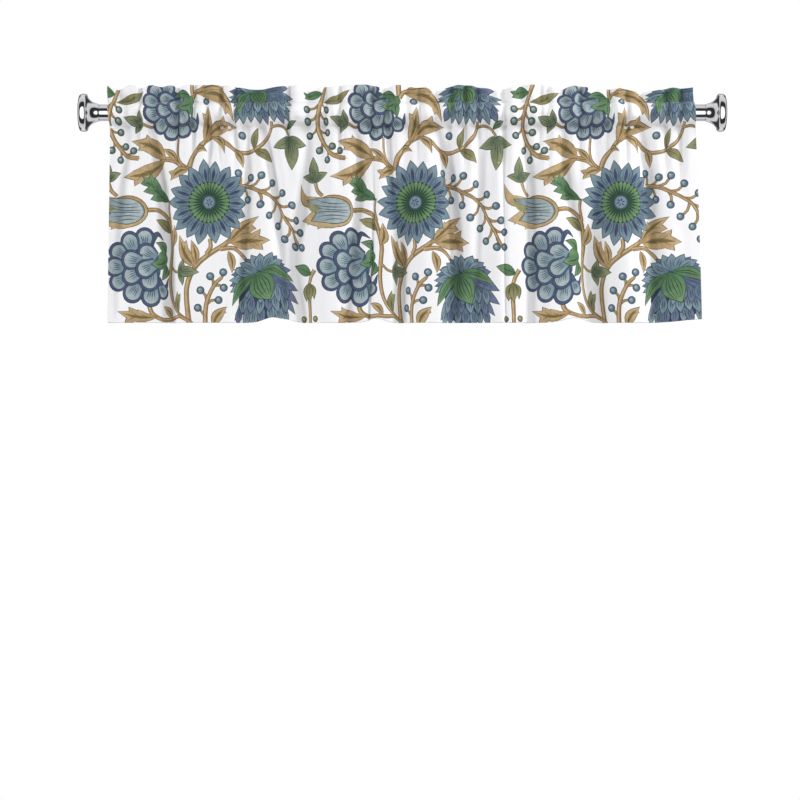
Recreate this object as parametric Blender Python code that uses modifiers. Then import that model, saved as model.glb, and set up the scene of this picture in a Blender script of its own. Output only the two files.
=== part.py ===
"""A rod-pocket window valance, gathered on its curtain rod with a turned finial at each end.

The origin is the middle of the rod's axis. +X runs along the rod, -Y faces the room and +Z is up.
The cloth is one sheet: from its turned-under back edge it runs up behind the rod, folds over at the
top of the heading, comes down in front of the rod and hangs to the hem. Sizes are in metres.
"""
import math
from collections import namedtuple

import bpy
import numpy as np

# The rod and its finials
ROD_RADIUS = 0.0159
SPAN = 1.258
FINIAL_LENGTH = 0.0398
FIT_GAP = 0.0003
ROUND_SIDES = 36

# The cloth
FLAT_WIDTH = 1.321
SHEET = 0.0012
HEADING_TOP = 0.054
STITCH_TOP = 0.020
SEAM = -0.0254
HEM = -0.4085
POCKET_RADIUS = ROD_RADIUS + 0.0019
STITCHED_HALF_GAP = 0.00085
HEADING_HALF_GAP = 0.0015
OPEN_FULL = 0.006
FLAP_BELOW_SEAM = 0.006
COLUMNS = 96
FINE = 1600

# Heights at which the tables below give each fold: heading, seam, upper skirt, lower skirt, hem
HEIGHTS = (0.040, -0.025, -0.150, -0.280, -0.405)
LEFT_EDGE = (-0.5733, -0.5680, -0.5696, -0.5721, -0.5733)
RIGHT_EDGE = (0.5653, 0.5698, 0.5756, 0.5799, 0.5833)

# A fold is a trough towards the wall: where it is and how deep at each height, and how wide its
# left and right flanks are. A negative depth is a billow towards the room.
Fold = namedtuple("Fold", "name place depth left right")
FOLDS = (
    Fold("left edge", (-.548, -.532, -.544, -.554, -.557), (.008, .010, .011, .008, .006), .012, .013),
    Fold("left deep", (-.472, -.480, -.468, -.4545, -.451), (.007, .010, .020, .021, .020), .012, .013),
    Fold("short one", (-.383, -.375, -.377, -.380, -.380), (.007, .010, .006, 0, 0), .008, .008),
    Fold("left pair a", (-.296, -.299, -.303, -.313, -.319), (.008, .010, .015, .012, .010), .009, .013),
    Fold("left pair b", (-.272, -.266, -.249, -.239, -.230), (.007, .011, .016, .015, .008), .010, .010),
    Fold("left wide", (-.185, -.183, -.189, -.210, -.193), (.009, .010, .018, .021, .018), .011, .020),
    Fold("inner left", (-.098, -.090, -.086, -.1015, -.111), (.006, .009, .015, .012, .010), .009, .012),
    Fold("middle narrow", (-.034, -.028, -.022, -.010, -.006), (.007, .010, .009, .004, 0), .008, .008),
    Fold("middle deep", (.009, .009, .003, -.001, -.0045), (.007, .008, .008, .018, .020), .010, .013),
    Fold("inner right", (.065, .067, .0925, .102, .096), (.008, .010, .020, .018, .013), .011, .013),
    Fold("right light", (.176, .168, .155, .151, .147), (.007, .009, .012, .010, .010), .010, .013),
    Fold("right narrow", (.232, .236, .248, .252, .248), (.007, .010, .017, .013, .012), .010, .012),
    Fold("right pair a", (.310, .312, .3195, .350, .356), (.008, .010, .014, .010, .007), .010, .011),
    Fold("right pair b", (.372, .374, .3855, .374, .380), (.007, .010, .009, .019, .020), .014, .017),
    Fold("right end", (.463, .463, .477, .484, .490), (.009, .010, .016, .012, .011), .010, .014),
    Fold("left billow", (-.370, -.370, -.370, -.378, -.378), (0, 0, -.005, -.010, -.010), .038, .040),
    Fold("second billow", (-.135, -.135, -.135, -.134, -.145), (0, -.002, -.006, -.006, -.007), .024, .024),
    Fold("middle billow", (.045, .040, .040, .043, .045), (0, 0, -.004, -.007, -.008), .022, .026),
    Fold("third billow", (.197, .197, .197, .200, .200), (0, -.002, -.004, -.007, -.008), .026, .026),
    Fold("fourth billow", (.290, .288, .288, .300, .305), (0, -.002, -.004, -.008, -.009), .024, .022),
    Fold("right billow", (.428, .428, .430, .432, .436), (0, -.003, -.007, -.006, -.006), .022, .022),
)

# Small gathers that the two rows of stitching pinch between the folds; they fade out in the skirt
GATHER_DEPTH = (.008, .009, .0015, 0, 0)
GATHER_FLANK = .0065
GATHERS = (-.509, -.436, -.405, -.352, -.325, -.222, -.148, -.122, -.058, .034, .096, .122, .146,
           .200, .268, .284, .345, .405, .435, .512, .541)

# How far the top fold dips below its highest line, and the hem rises above its lowest
Dip = namedtuple("Dip", "place amount flank")
TOP_DIPS = (
    Dip(-.552, .010, .009), Dip(-.507, .006, .009), Dip(-.468, .004, .009), Dip(-.435, .005, .008),
    Dip(-.284, .009, .034), Dip(-.179, .012, .013), Dip(-.138, .004, .014), Dip(-.035, .007, .012),
    Dip(.024, .005, .012), Dip(.068, .012, .016), Dip(.158, .006, .015), Dip(.186, .008, .012),
    Dip(.210, .005, .010), Dip(.307, .009, .013), Dip(.392, .009, .028), Dip(.462, .014, .020),
    Dip(.500, .008, .018), Dip(.552, .007, .020),
)
HEM_RISES = (
    Dip(-.253, .0105, .016), Dip(-.222, .005, .012), Dip(-.050, .0085, .014), Dip(.335, .0095, .020),
    Dip(.585, .0070, .040),
)

# The sheet's rows, from the flap's lower edge behind the rod, over the top, to the hem in front.
# In the heading a row's place is its share of the way from the stitches to the top fold, in the
# skirt its share of the way from the seam to the hem, and in the pocket its height.
Row = namedtuple("Row", "part side place")
POCKET_HEIGHTS = (.014, .005, -.005, -.013)
HEADING_SHARES = (.40, .92)
SKIRT_SHARES = (.05, .14, .26, .39, .53, .67, .81, .94, 1)
ROWS = (
    [Row("flap", 1, 1), Row("pocket", 1, SEAM)]
    + [Row("pocket", 1, z) for z in reversed(POCKET_HEIGHTS)]
    + [Row("heading", 1, 0)]
    + [Row("heading", 1, share) for share in HEADING_SHARES]
    + [Row("heading", 0, 1)]
    + [Row("heading", -1, share) for share in reversed(HEADING_SHARES)]
    + [Row("heading", -1, 0)]
    + [Row("pocket", -1, z) for z in POCKET_HEIGHTS]
    + [Row("pocket", -1, SEAM)]
    + [Row("skirt", -1, share) for share in SKIRT_SHARES]
)


def clear_scene():
    for obj in list(bpy.data.objects):
        bpy.data.objects.remove(obj, do_unlink=True)


def parts_collection(name):
    collection = bpy.data.collections.new(name)
    bpy.context.scene.collection.children.link(collection)
    return collection


def material(name, colour, roughness, metallic=0.0):
    result = bpy.data.materials.new(name)
    result.use_nodes = True
    shader = result.node_tree.nodes["Principled BSDF"]
    shader.inputs["Base Color"].default_value = (*colour, 1)
    shader.inputs["Roughness"].default_value = roughness
    shader.inputs["Metallic"].default_value = metallic
    return result


def move_to(obj, collection):
    for owner in list(obj.users_collection):
        owner.objects.unlink(obj)
    collection.objects.link(obj)


def at_height(values, z):
    """The value at height z of a list that is given at HEIGHTS, as a smooth curve."""
    z = min(max(z, HEIGHTS[-1]), HEIGHTS[0])
    i = next(n for n in range(len(HEIGHTS) - 1) if z >= HEIGHTS[n + 1])
    slope = [(values[n + 1] - values[n]) / (HEIGHTS[n + 1] - HEIGHTS[n]) for n in range(len(HEIGHTS) - 1)]
    start = slope[0] if i == 0 else (slope[i - 1] + slope[i]) / 2
    end = slope[-1] if i == len(slope) - 1 else (slope[i] + slope[i + 1]) / 2
    step = HEIGHTS[i + 1] - HEIGHTS[i]
    t = (z - HEIGHTS[i]) / step
    return (values[i] * (2 * t**3 - 3 * t**2 + 1) + values[i + 1] * (3 * t**2 - 2 * t**3)
            + step * (start * (t**3 - 2 * t**2 + t) + end * (t**3 - t**2)))


def bump(x, place, left, right):
    """A soft trough of height 1 whose two flanks may differ."""
    flank = np.where(x < place, left, right)
    return np.exp(-0.5 * ((x - place) / flank) ** 2)


def fold_depth(x, z):
    """How far the cloth stands back towards the wall at x and z, before it is made to fit."""
    depth = np.zeros_like(x)
    for fold in FOLDS:
        depth += at_height(fold.depth, z) * bump(x, at_height(fold.place, z), fold.left, fold.right)
    gather = max(at_height(GATHER_DEPTH, z), 0)
    for place in GATHERS:
        depth += gather * bump(x, place, GATHER_FLANK, GATHER_FLANK)
    return depth


def gathered_row(z):
    """The row at height z as x, y and the sideways slope, evenly spaced along the flat cloth.

    The folds are scaled so that the row is exactly as long as the cloth is wide before gathering.
    """
    across = np.linspace(at_height(LEFT_EDGE, z), at_height(RIGHT_EDGE, z), FINE)
    depth = fold_depth(across, z)
    low, high = 0.0, 4.0
    for _ in range(40):
        scale = (low + high) / 2
        lengths = np.hypot(np.diff(across), scale * np.diff(depth))
        if lengths.sum() > FLAT_WIDTH:
            high = scale
        else:
            low = scale
    along = np.concatenate([[0], np.cumsum(lengths)])
    depth = scale * (depth - depth.mean())
    even = np.linspace(0, along[-1], COLUMNS)
    slope = np.gradient(depth, across)
    return np.interp(even, along, across), np.interp(even, along, depth), np.interp(even, along, slope)


def pocket_opening(z):
    """Half the width of the pocket at height z: round the rod, then straight to each row of stitches."""
    for stitch in (STITCH_TOP, SEAM):
        touch = POCKET_RADIUS**2 / stitch
        if abs(z) > abs(touch) and z * stitch > 0:
            width = math.sqrt(POCKET_RADIUS**2 - touch**2)
            return width * (stitch - z) / (stitch - touch)
    return math.sqrt(POCKET_RADIUS**2 - z**2)


def edge_line(x, base, dips, sign):
    line = np.full_like(x, base)
    for dip in dips:
        line += sign * dip.amount * bump(x, dip.place, dip.flank, dip.flank)
    return line


def row_points(row):
    """The points of one row of the sheet."""
    if row.part == "pocket":
        x, y, slope = gathered_row(row.place)
        z = np.full_like(x, row.place)
        opening = pocket_opening(row.place)
        lift = min(1, opening / OPEN_FULL)
        clear = y.max() if row.side < 0 else -y.min()
        y = y + row.side * (opening + lift * clear)
        half_gap = STITCHED_HALF_GAP
    elif row.part == "heading":
        nominal = STITCH_TOP + row.place * (HEADING_TOP - STITCH_TOP)
        x, y, slope = gathered_row(nominal)
        top = edge_line(x, HEADING_TOP, TOP_DIPS, -1)
        z = STITCH_TOP + row.place * (top - STITCH_TOP)
        half_gap = STITCHED_HALF_GAP + (HEADING_HALF_GAP - STITCHED_HALF_GAP) * row.place
    elif row.part == "skirt":
        nominal = SEAM + row.place * (HEM - SEAM)
        x, y, slope = gathered_row(nominal)
        z = SEAM + row.place * (edge_line(x, HEM, HEM_RISES, 1) - SEAM)
        half_gap = STITCHED_HALF_GAP
    else:
        x, y, slope = gathered_row(SEAM - FLAP_BELOW_SEAM)
        z = np.full_like(x, SEAM - FLAP_BELOW_SEAM)
        half_gap = STITCHED_HALF_GAP
    steep = np.sqrt(1 + slope**2)
    return np.column_stack([x - row.side * half_gap * slope / steep, y + row.side * half_gap / steep, z])


def make_valance(collection):
    points = np.concatenate([row_points(row) for row in ROWS])
    faces = []
    for r in range(len(ROWS) - 1):
        for c in range(COLUMNS - 1):
            a = r * COLUMNS + c
            faces.append((a, a + COLUMNS, a + COLUMNS + 1, a + 1))
    mesh = bpy.data.meshes.new("valance")
    mesh.from_pydata(points.tolist(), [], faces)
    mesh.shade_smooth()
    obj = bpy.data.objects.new("valance", mesh)
    solid = obj.modifiers.new("thickness", "SOLIDIFY")
    solid.thickness = SHEET
    solid.offset = 0
    obj.data.materials.append(material("printed cloth", (0.72, 0.74, 0.73), 0.9))
    collection.objects.link(obj)


def make_rod(collection, chrome):
    length = SPAN - 2 * FINIAL_LENGTH - 2 * FIT_GAP
    bpy.ops.mesh.primitive_cylinder_add(
        vertices=ROUND_SIDES, radius=ROD_RADIUS, depth=length, rotation=(0, math.pi / 2, 0))
    rod = bpy.context.object
    rod.name = "rod"
    rod.data.materials.append(chrome)
    rod.data.shade_smooth()
    rod.data.set_sharp_from_angle(angle=math.radians(40))
    move_to(rod, collection)


# A finial's outline from the centre of its flat outer face to the rod, as radius and depth
FINIAL_OUTLINE = (
    (0, 0), (.0255, 0), (.0318, .0010), (.0356, .0040), (.0369, .0090), (.0365, .0140), (.0349, .0172),
    (.0308, .0200), (.0256, .0232), (.0218, .0276), (.0194, .0322), (.0180, .0366), (.0175, FINIAL_LENGTH),
    (0, FINIAL_LENGTH),
)


def make_finial(name, side, collection, chrome):
    """A finial turned about its own +Z, which then points outwards along the rod."""
    verts = [(radius, 0, -depth) for radius, depth in FINIAL_OUTLINE]
    edges = [(n, n + 1) for n in range(len(verts) - 1)]
    mesh = bpy.data.meshes.new(name)
    mesh.from_pydata(verts, edges, [])
    finial = bpy.data.objects.new(name, mesh)
    screw = finial.modifiers.new("turned", "SCREW")
    screw.steps = ROUND_SIDES
    screw.render_steps = ROUND_SIDES
    screw.use_merge_vertices = True
    screw.merge_threshold = 0.00001
    screw.use_smooth_shade = True
    finial.rotation_euler = (0, side * math.pi / 2, 0)
    finial.location = (side * SPAN / 2, 0, 0)
    finial.data.materials.append(chrome)
    collection.objects.link(finial)


def main():
    clear_scene()
    collection = parts_collection("window valance")
    chrome = material("chrome", (0.80, 0.80, 0.82), 0.08, 1.0)
    make_valance(collection)
    make_rod(collection, chrome)
    make_finial("finial_left", -1, collection, chrome)
    make_finial("finial_right", 1, collection, chrome)


main()
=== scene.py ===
"""The looks of a gathered window valance in a flower print, on a chrome curtain rod.

Sizes are in metres. +X runs along the rod, -Y faces the room and +Z is up.
The print is drawn as patches on the flat cloth, and the flat cloth is then hung in its folds.
"""
import math
import random
from collections import namedtuple

import bpy
import numpy as np
from mathutils.bvhtree import BVHTree
from mathutils.geometry import delaunay_2d_cdt
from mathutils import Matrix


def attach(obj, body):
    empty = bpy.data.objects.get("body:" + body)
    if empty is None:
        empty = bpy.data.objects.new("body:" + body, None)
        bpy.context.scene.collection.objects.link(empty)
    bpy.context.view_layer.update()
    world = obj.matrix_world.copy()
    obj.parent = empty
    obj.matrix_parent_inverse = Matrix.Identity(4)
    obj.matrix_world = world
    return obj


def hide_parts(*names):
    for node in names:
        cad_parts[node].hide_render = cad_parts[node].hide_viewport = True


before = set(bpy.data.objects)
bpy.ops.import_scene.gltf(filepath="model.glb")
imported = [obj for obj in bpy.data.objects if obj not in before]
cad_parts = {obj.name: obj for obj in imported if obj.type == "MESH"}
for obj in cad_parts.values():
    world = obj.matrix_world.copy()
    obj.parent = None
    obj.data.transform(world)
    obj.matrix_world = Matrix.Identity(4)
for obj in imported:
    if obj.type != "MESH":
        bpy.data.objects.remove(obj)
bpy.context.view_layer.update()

# The rod and its finials
ROD_RADIUS = 0.0159
SPAN = 1.258
FINIAL_LENGTH = 0.0398

# The hanging cloth
FLAT_WIDTH = 1.321
SHEET = 0.0009
HEADING_TOP = 0.054
STITCH_TOP = 0.020
SEAM = -0.0254
HEM = -0.4085
POCKET_RADIUS = ROD_RADIUS + 0.0016
STITCHED_HALF_GAP = 0.0009
HEADING_HALF_GAP = 0.0015
OPEN_FULL = 0.006
FLAP_BELOW_SEAM = 0.006
HEM_TURN = 0.022
SIDE_TURN = 0.010
TURN_GAP = 0.0012
FLAT_TOP = HEADING_TOP + (HEADING_TOP - SEAM) + FLAP_BELOW_SEAM
FLAT_BOTTOM = HEM - HEM_TURN

# Heights at which the tables below give each fold: heading, seam, upper skirt, lower skirt, hem
HEIGHTS = (0.040, -0.025, -0.150, -0.280, -0.405)
LEFT_EDGE = (-0.5733, -0.5680, -0.5696, -0.5721, -0.5733)
RIGHT_EDGE = (0.5653, 0.5698, 0.5756, 0.5799, 0.5833)

# A fold is a trough towards the wall: where it is and how deep at each height, and how wide its
# left and right flanks are. A negative depth is a billow towards the room.
Fold = namedtuple("Fold", "name place depth left right")
FOLDS = (
    Fold("left edge", (-.548, -.532, -.544, -.554, -.557), (.008, .010, .011, .008, .006), .012, .013),
    Fold("left deep", (-.472, -.480, -.468, -.4545, -.451), (.007, .010, .020, .021, .020), .012, .013),
    Fold("short one", (-.383, -.375, -.377, -.380, -.380), (.007, .010, .006, 0, 0), .008, .008),
    Fold("left pair a", (-.296, -.299, -.303, -.313, -.319), (.008, .010, .015, .012, .010), .009, .013),
    Fold("left pair b", (-.272, -.266, -.249, -.239, -.230), (.007, .011, .016, .015, .008), .010, .010),
    Fold("left wide", (-.185, -.183, -.189, -.210, -.193), (.009, .010, .018, .021, .018), .011, .020),
    Fold("inner left", (-.098, -.090, -.086, -.1015, -.111), (.006, .009, .015, .012, .010), .009, .012),
    Fold("middle narrow", (-.034, -.028, -.022, -.010, -.006), (.007, .010, .009, .004, 0), .008, .008),
    Fold("middle deep", (.009, .009, .003, -.001, -.0045), (.007, .008, .008, .018, .020), .010, .013),
    Fold("inner right", (.065, .067, .0925, .102, .096), (.008, .010, .020, .018, .013), .011, .013),
    Fold("right light", (.176, .168, .155, .151, .147), (.007, .009, .012, .010, .010), .010, .013),
    Fold("right narrow", (.232, .236, .248, .252, .248), (.007, .010, .017, .013, .012), .010, .012),
    Fold("right pair a", (.310, .312, .3195, .350, .356), (.008, .010, .014, .010, .007), .010, .011),
    Fold("right pair b", (.372, .374, .3855, .374, .380), (.007, .010, .009, .019, .020), .014, .017),
    Fold("right end", (.463, .463, .477, .484, .490), (.009, .010, .016, .012, .011), .010, .014),
    Fold("left billow", (-.370, -.370, -.370, -.378, -.378), (0, 0, -.005, -.010, -.010), .038, .040),
    Fold("second billow", (-.135, -.135, -.135, -.134, -.145), (0, -.002, -.006, -.006, -.007), .024, .024),
    Fold("middle billow", (.045, .040, .040, .043, .045), (0, 0, -.004, -.007, -.008), .022, .026),
    Fold("third billow", (.197, .197, .197, .200, .200), (0, -.002, -.004, -.007, -.008), .026, .026),
    Fold("fourth billow", (.290, .288, .288, .300, .305), (0, -.002, -.004, -.008, -.009), .024, .022),
    Fold("right billow", (.428, .428, .430, .432, .436), (0, -.003, -.007, -.006, -.006), .022, .022),
    Fold("middle tuck", (-.050, -.050, -.053, -.059, -.065), (0, .001, .004, .006, .006), .003, .003),
    Fold("right tuck", (.192, .194, .197, .199, .201), (.002, .003, .004, .004, .004), .003, .003),
)

# Small gathers that the two rows of stitching pinch between the folds; they fade out in the skirt
GATHER_DEPTH = (.008, .009, .0015, 0, 0)
GATHER_FLANK = .0065
GATHERS = (-.509, -.436, -.405, -.352, -.325, -.222, -.148, -.122, -.058, .034, .096, .122, .146,
           .200, .268, .284, .345, .405, .435, .512, .541)

# How far the top fold dips below its highest line, and the hem rises above its lowest
Dip = namedtuple("Dip", "place amount flank")
TOP_DIPS = (
    Dip(-.552, .010, .009), Dip(-.507, .006, .009), Dip(-.468, .004, .009), Dip(-.435, .005, .008),
    Dip(-.284, .009, .034), Dip(-.179, .012, .013), Dip(-.138, .004, .014), Dip(-.035, .007, .012),
    Dip(.024, .005, .012), Dip(.068, .012, .016), Dip(.158, .006, .015), Dip(.186, .008, .012),
    Dip(.210, .005, .010), Dip(.307, .009, .013), Dip(.392, .009, .028), Dip(.462, .014, .020),
    Dip(.500, .008, .018), Dip(.552, .007, .020),
)
HEM_RISES = (
    Dip(-.253, .0105, .016), Dip(-.222, .005, .012), Dip(-.050, .0085, .014), Dip(.335, .0095, .020),
    Dip(.585, .0070, .040),
)

# Soft creases seen from the front: from and to as x and z, how deep (less than 0 is a ridge), how wide
Crease = namedtuple("Crease", "start end depth flank")
CREASES = (
    Crease((-.350, -.0180), (-.332, -.0180), .0036, .0060),
    Crease((-.214, -.0165), (-.204, -.0165), .0028, .0050),
    Crease((-.130, -.0160), (-.110, -.0160), .0028, .0050),
    Crease((.030, -.0170), (.038, -.0170), .0032, .0055),
    Crease((.083, -.0170), (.092, -.0170), .0026, .0050),
    Crease((.200, -.0165), (.210, -.0165), .0030, .0060),
    Crease((.432, -.0180), (.450, -.0180), .0038, .0060),
    Crease((.498, -.0180), (.508, -.0180), .0022, .0055),
    Crease((-.563, -.0300), (-.556, -.0700), .0022, .0050),
    Crease((-.335, -.0320), (-.314, -.0880), .0020, .0050),
    Crease((-.350, -.0320), (-.374, -.0780), .0020, .0050),
    Crease((.432, -.0320), (.402, -.0880), .0020, .0060),
    Crease((.448, -.0320), (.468, -.0880), .0020, .0050),
    Crease((.205, -.0280), (.211, -.0600), .0024, .0060),
    Crease((-.024, -.2050), (-.027, -.2500), .0026, .0050),
    Crease((-.144, -.0600), (-.118, -.1350), .0016, .0070),
    Crease((.118, -.0450), (.132, -.1100), .0016, .0070),
    Crease((.268, -.0450), (.262, -.1200), .0018, .0060),
    Crease((-.500, -.1400), (-.498, -.2400), -.0022, .0090),
    Crease((-.418, -.1800), (-.414, -.2700), -.0026, .0080),
    Crease((.046, -.1900), (.050, -.3300), -.0020, .0100),
    Crease((.436, -.2500), (.446, -.3500), -.0022, .0090),
    Crease((-.350, -.3000), (-.362, -.3950), .0020, .0090),
    Crease((.288, -.2600), (.300, -.3700), .0018, .0080),
    Crease((.532, -.0400), (.540, -.1500), .0020, .0080),
    Crease((.545, -.2300), (.552, -.3600), .0018, .0090),
    Crease((-.200, -.1500), (-.206, -.3800), .0045, .0160),
    Crease((.372, -.2100), (.386, -.4000), .0045, .0180),
    Crease((-.546, -.1000), (-.556, -.3800), .0030, .0140),
    Crease((.098, -.1000), (.108, -.3300), .0030, .0140),
)

# The creases lie in the front of the cloth only, and fade out below the rod's widest line
CREASE_TOP = -0.004
CREASE_FADE = 0.010

ROW_STEP = 0.0022
COLUMN_STEP = 0.002
FINE = 2400


def at_height(values, z):
    """The value at height z of a list that is given at HEIGHTS, as a smooth curve."""
    z = min(max(z, HEIGHTS[-1]), HEIGHTS[0])
    i = next(n for n in range(len(HEIGHTS) - 1) if z >= HEIGHTS[n + 1])
    slope = [(values[n + 1] - values[n]) / (HEIGHTS[n + 1] - HEIGHTS[n]) for n in range(len(HEIGHTS) - 1)]
    start = slope[0] if i == 0 else (slope[i - 1] + slope[i]) / 2
    end = slope[-1] if i == len(slope) - 1 else (slope[i] + slope[i + 1]) / 2
    step = HEIGHTS[i + 1] - HEIGHTS[i]
    t = (z - HEIGHTS[i]) / step
    return (values[i] * (2 * t**3 - 3 * t**2 + 1) + values[i + 1] * (3 * t**2 - 2 * t**3)
            + step * (start * (t**3 - 2 * t**2 + t) + end * (t**3 - t**2)))


def bump(x, place, left, right):
    """A soft trough of height 1 whose two flanks may differ."""
    flank = np.where(x < place, left, right)
    return np.exp(-0.5 * ((x - place) / flank) ** 2)


def fold_depth(x, z):
    """How far the cloth stands back towards the wall at x and z, before it is made to fit."""
    depth = np.zeros_like(x)
    for fold in FOLDS:
        depth += at_height(fold.depth, z) * bump(x, at_height(fold.place, z), fold.left, fold.right)
    gather = max(at_height(GATHER_DEPTH, z), 0)
    for place in GATHERS:
        depth += gather * bump(x, place, GATHER_FLANK, GATHER_FLANK)
    return depth


def gathered_row(z, even):
    """x, y and the sideways slope of the row at height z, at the places even along the flat cloth.

    The folds are scaled so that the row is exactly as long as the cloth is wide before gathering.
    """
    across = np.linspace(at_height(LEFT_EDGE, z), at_height(RIGHT_EDGE, z), FINE)
    depth = fold_depth(across, z)
    low, high = 0.0, 4.0
    for _ in range(30):
        scale = (low + high) / 2
        lengths = np.hypot(np.diff(across), scale * np.diff(depth))
        if lengths.sum() > FLAT_WIDTH:
            high = scale
        else:
            low = scale
    along = np.concatenate([[0], np.cumsum(lengths)])
    depth = scale * (depth - depth.mean())
    slope = np.gradient(depth, across)
    return np.interp(even, along, across), np.interp(even, along, depth), np.interp(even, along, slope)


def pocket_opening(z):
    """Half the width of the pocket at height z: round the rod, then straight to each row of stitches."""
    for stitch in (STITCH_TOP, SEAM):
        touch = POCKET_RADIUS**2 / stitch
        if abs(z) > abs(touch) and z * stitch > 0:
            width = math.sqrt(POCKET_RADIUS**2 - touch**2)
            return width * (stitch - z) / (stitch - touch)
    return math.sqrt(POCKET_RADIUS**2 - z**2)


def edge_line(x, base, dips, sign):
    line = np.full_like(x, base)
    for dip in dips:
        line += sign * dip.amount * bump(x, dip.place, dip.flank, dip.flank)
    return line


def hung_row(height, even):
    """One row of the hanging sheet. Its height is that in the front view, and past the top fold it
    goes on rising as the sheet comes down behind the rod."""
    side = 1 if height > HEADING_TOP else -1
    down = abs(height - HEADING_TOP)
    z = HEADING_TOP - down
    x, y, slope = gathered_row(z, even)
    half_gap = STITCHED_HALF_GAP
    if z > STITCH_TOP:
        share = (z - STITCH_TOP) / (HEADING_TOP - STITCH_TOP)
        half_gap += (HEADING_HALF_GAP - STITCHED_HALF_GAP) * share
        bend = min(down / half_gap, math.pi / 2)
        drop = half_gap * (1 - math.cos(bend)) - min(down, half_gap * math.pi / 2)
        half_gap *= math.sin(bend)
        top = edge_line(x, HEADING_TOP, TOP_DIPS, -1)
        place = STITCH_TOP + share * (top - STITCH_TOP) - drop * share
    elif z >= SEAM:
        opening = pocket_opening(z)
        lift = min(1, opening / OPEN_FULL)
        clear = y.max() if side < 0 else -y.min()
        y = y + side * (opening + lift * clear)
        place = np.full_like(x, z)
    elif side > 0:
        place = np.full_like(x, z)
    else:
        share = (SEAM - z) / (SEAM - HEM)
        place = SEAM - share * (SEAM - edge_line(x, HEM, HEM_RISES, 1))
    steep = np.sqrt(1 + slope**2)
    return np.column_stack([x - side * half_gap * slope / steep, y + side * half_gap / steep, place])


def crease_relief(points):
    """How far the creases push each point back, from the distance to each crease's line."""
    seen = points[:, [0, 2]]
    relief = np.zeros(len(points))
    for crease in CREASES:
        start = np.array(crease.start)
        run = np.array(crease.end) - start
        share = np.clip((seen - start) @ run / (run @ run), 0, 1)
        away = np.linalg.norm(seen - start - share[:, None] * run, axis=1)
        relief += crease.depth * np.exp(-0.5 * (away / crease.flank) ** 2)
    return relief


class Hanging:
    """The hung sheet as a fine grid of points, and where any point of the flat cloth lies on it."""

    def __init__(self):
        self.heights = np.arange(HEM, FLAT_TOP + ROW_STEP / 2, ROW_STEP)
        self.even = np.arange(0, FLAT_WIDTH + COLUMN_STEP / 2, COLUMN_STEP)
        self.points = np.stack([hung_row(min(h, FLAT_TOP), self.even) for h in self.heights])
        across = np.gradient(self.points, axis=1)
        up = np.gradient(self.points, axis=0)
        normal = np.cross(across, up)
        self.normals = normal / np.linalg.norm(normal, axis=2, keepdims=True)

    def read(self, grid, across, height):
        """The grid's values at flat places, between its four nearest points."""
        c = np.clip(across / COLUMN_STEP, 0, grid.shape[1] - 1.001)
        r = np.clip((height - HEM) / ROW_STEP, 0, grid.shape[0] - 1.001)
        c0, r0 = c.astype(int), r.astype(int)
        fc, fr = (c - c0)[:, None], (r - r0)[:, None]
        low = grid[r0, c0] * (1 - fc) + grid[r0, c0 + 1] * fc
        high = grid[r0 + 1, c0] * (1 - fc) + grid[r0 + 1, c0 + 1] * fc
        return low * (1 - fr) + high * fr

    def place(self, across, height, out=0.0):
        """Points of the flat cloth as they hang. Past the hem and the sides it turns under."""
        across, height = np.asarray(across, float), np.asarray(height, float)
        under_hem = np.maximum(HEM - height, 0)
        under_side = np.maximum(np.maximum(-across, across - FLAT_WIDTH), 0)
        height = np.maximum(height, 2 * HEM - height)
        across = np.abs(across)
        across = np.where(across > FLAT_WIDTH, 2 * FLAT_WIDTH - across, across)
        behind = np.minimum(under_hem, TURN_GAP) + np.minimum(under_side, TURN_GAP)
        normal = self.read(self.normals, across, height)
        points = self.read(self.points, across, height) + normal * (out - behind)[:, None]
        front = np.clip((CREASE_TOP - height) / CREASE_FADE, 0, 1)
        points[:, 1] += crease_relief(points) * front
        return points


# Inks of the print, by their usual red, green and blue from 0 to 255, on a bleached cotton ground
COTTON = 0.765


def ink(red, green, blue):
    values = [c / 255 for c in (red, green, blue)]
    return tuple(COTTON * (c / 12.92 if c <= 0.04045 else ((c + 0.055) / 1.055) ** 2.4) for c in values)


WHITE = ink(251, 251, 253)
TAN, TAN_LIGHT = ink(178, 150, 107), ink(200, 176, 136)
TAN_SHADE, TAN_DARK = ink(146, 119, 78), ink(110, 87, 56)
OLIVE, OLIVE_LIGHT, OLIVE_DARK = ink(120, 118, 80), ink(160, 156, 114), ink(80, 80, 54)
GREEN, GREEN_LIGHT, GREEN_DARK = ink(76, 115, 80), ink(118, 150, 110), ink(46, 76, 60)
SAGE, SAGE_LIGHT, SAGE_DARK = ink(92, 111, 90), ink(150, 156, 116), ink(56, 72, 64)
BLUE, BLUE_LIGHT, BLUE_DARK = ink(94, 118, 132), ink(127, 150, 160), ink(58, 76, 94)
NAVY, NAVY_DARK, VIOLET = ink(80, 95, 122), ink(56, 66, 88), ink(70, 76, 108)
PALE, PALE_LIGHT, PALE_LINE = ink(132, 153, 162), ink(175, 189, 192), ink(80, 101, 118)
LILAC, LILAC_LINE = ink(134, 151, 158), ink(74, 90, 100)
PLUM, PLUM_LIGHT = ink(80, 90, 120), ink(108, 122, 148)

LINE = 0.0011
LOBE_GROWTH = 1.18
FINE_LINE = 0.0013
Patch = namedtuple("Patch", "outline near far start end")


def unit(vector):
    return np.asarray(vector, float) / max(np.linalg.norm(vector), 1e-9)


def turned(angle):
    """The direction at an angle in degrees, 0 to the right and 90 up."""
    return np.array([math.cos(math.radians(angle)), math.sin(math.radians(angle))])


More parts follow.
